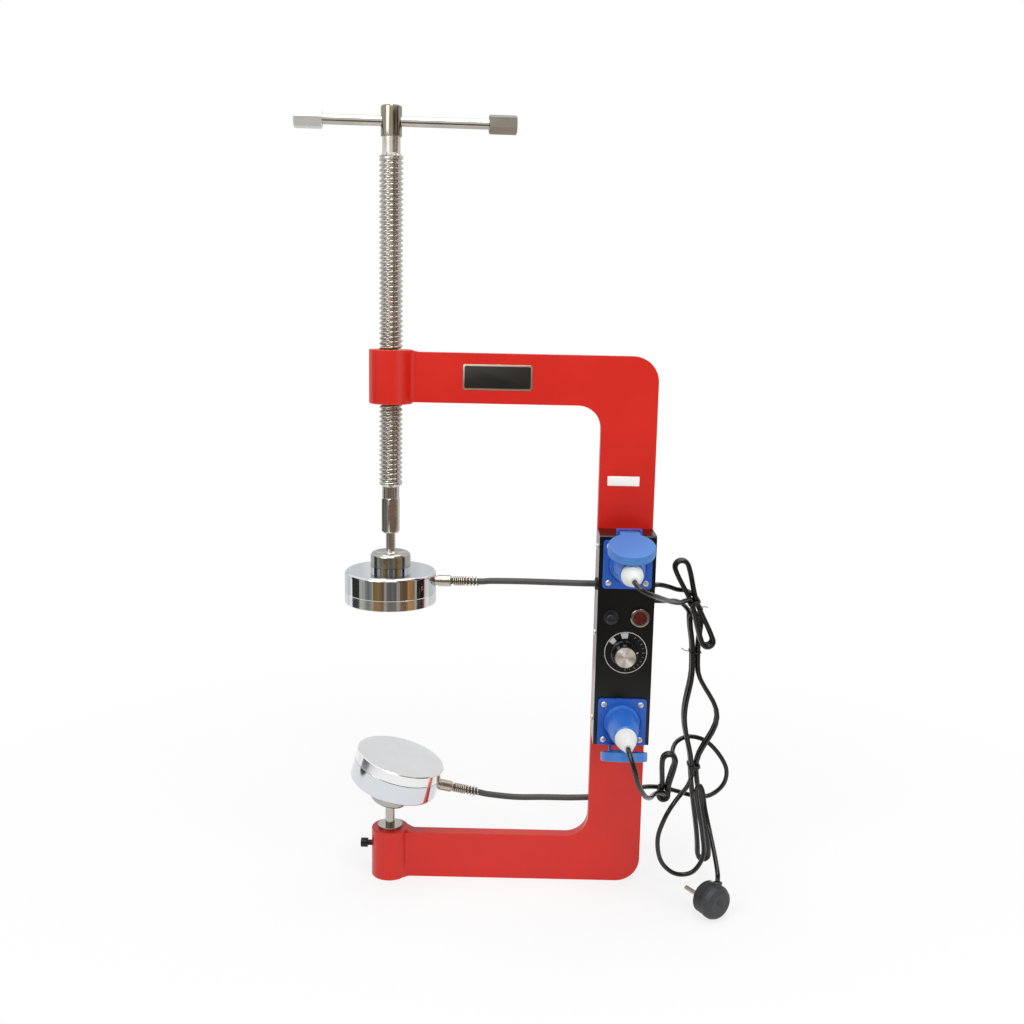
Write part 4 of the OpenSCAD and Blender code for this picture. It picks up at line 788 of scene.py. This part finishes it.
floor_white, tree, where = new_material("floor_white")
reach = add(tree, "ShaderNodeVectorMath", {"operation": "DISTANCE", 1: floor_middle}, {0: where})
far = add(tree, "ShaderNodeMapRange", {"From Min": 0.3, "From Max": 0.9, "To Min": 0.75, "To Max": 1},
          {"Value": reach.outputs["Value"]})
share = add(tree, "ShaderNodeMath", {"operation": "MULTIPLY"}, {0: seen_directly(tree), 1: far})
matt = add(tree, "ShaderNodeBsdfDiffuse", {"Color": linear("#f4f4f4")})
glow = add(tree, "ShaderNodeEmission", {"Color": (1, 1, 1, 1), "Strength": 1})
both = add(tree, "ShaderNodeMixShader", {}, {0: share, 1: matt, 2: glow})
add(tree, "ShaderNodeOutputMaterial", {}, {"Surface": both})
corners = [(floor_half * x, floor_half * y, 0) for x, y in ((-1, -1), (1, -1), (1, 1), (-1, 1))]
floor = make_mesh("floor", corners, [(0, 1, 2, 3)])
floor.data.materials.append(floor_white)

world = bpy.data.worlds.new("studio")
scene.world = world
world.use_nodes = True
tree = world.node_tree
tree.nodes.clear()
through = add(tree, "ShaderNodeLightPath").outputs["Is Transmission Ray"]
seen = add(tree, "ShaderNodeMath", {"operation": "MAXIMUM"}, {0: seen_directly(tree), 1: through})
strength = add(tree, "ShaderNodeMapRange", {"To Min": 0.45, "To Max": 1.0}, {"Value": seen})
sky = add(tree, "ShaderNodeBackground", {"Color": (1, 1, 1, 1)}, {"Strength": strength})
add(tree, "ShaderNodeOutputWorld", {}, {"Surface": sky})

for name, at, target, size, watts in (("key", (-1.2, -1.6, 1.7), (0.12, 0, 0.4), (1.2, 1.2), 16),
                                      ("front", (0.2, -1.3, 2.4), (0.15, 0, 0.4), (0.8, 0.8), 15),
                                      ("fill", (1.7, -1.3, 1.0), (0.15, 0, 0.35), (1.0, 1.4), 12),
                                      ("overhead", (0.1, 0.2, 2.1), (0.12, 0, 0.3), (1.6, 1.0), 12)):
    lamp = bpy.data.objects.new(name, bpy.data.lights.new(name, "AREA"))
    lamp.data.shape = "RECTANGLE"
    lamp.data.size, lamp.data.size_y = size
    lamp.data.energy = watts
    lamp.location = at
    lamp.rotation_euler = (Vector(target) - Vector(at)).to_track_quat("-Z", "Y").to_euler()
    scene.collection.objects.link(lamp)

# Each board is given by the angles of its two edges from straight in front, to the right, and by its height.
board_reach, low_board, high_board = 0.8, 0.64, 1.25
boards = (("side_wall_left", -140, -103, low_board, "#eceeee"),
          ("dark_curtain", -103, -76, low_board, "#383733"),
          ("pale_wall_1", -76, -59, low_board, "#b4b5ad"),
          ("grey_shelf", -59, -40, low_board, "#868780"),
          ("pale_wall_2", -40, -37, low_board, "#b4b5ad"),
          ("oak_panel", -37, -22, low_board, "#866a42"),
          ("walnut_panel", -22, -9, low_board, "#79604a"),
          ("pale_wall_3", -9, -3, low_board, "#a39a8c"),
          ("grey_door", -3, 21, low_board, "#696763"),
          ("pale_wall_4", 21, 29, high_board, "#a39a8c"),
          ("walnut_door", 29, 48, high_board, "#6b543f"),
          ("oak_door", 48, 67, high_board, "#a8804f"),
          ("pale_wall_5", 67, 73, high_board, "#b4b5ad"),
          ("dark_curtain_right", 73, 90, high_board, "#2d2927"),
          ("side_wall_right", 98, 140, low_board, "#dfdfdf"),
          ("back_wall_1", 140, 180, high_board, "#dee0e1"),
          ("back_wall_2", 180, 220, high_board, "#dee0e1"))
for name, start, end, height, colour in boards:
    board_paint, tree, where = new_material(name)
    upright = add(tree, "ShaderNodeMapping", {"Scale": (1, 1, 0.12)}, {"Vector": where})
    streak = add(tree, "ShaderNodeTexNoise", {"Scale": grain(60), "Detail": 4}, {"Vector": upright})
    strength = add(tree, "ShaderNodeMapRange", {"From Min": 0.25, "From Max": 0.75, "To Min": 0.55,
                                                "To Max": 1.4}, {"Value": streak})
    glow = add(tree, "ShaderNodeEmission", {"Color": linear(colour)}, {"Strength": strength})
    add(tree, "ShaderNodeOutputMaterial", {}, {"Surface": glow})
    one_edge, other_edge = ((board_reach * math.sin(a), -board_reach * math.cos(a))
                            for a in (math.radians(start), math.radians(end)))
    corners = [(*one_edge, 0), (*other_edge, 0), (*other_edge, height), (*one_edge, height)]
    board = make_mesh(name, corners, [(0, 1, 2, 3)])
    board.data.materials.append(board_paint)
    board.visible_camera = board.visible_diffuse = board.visible_shadow = False
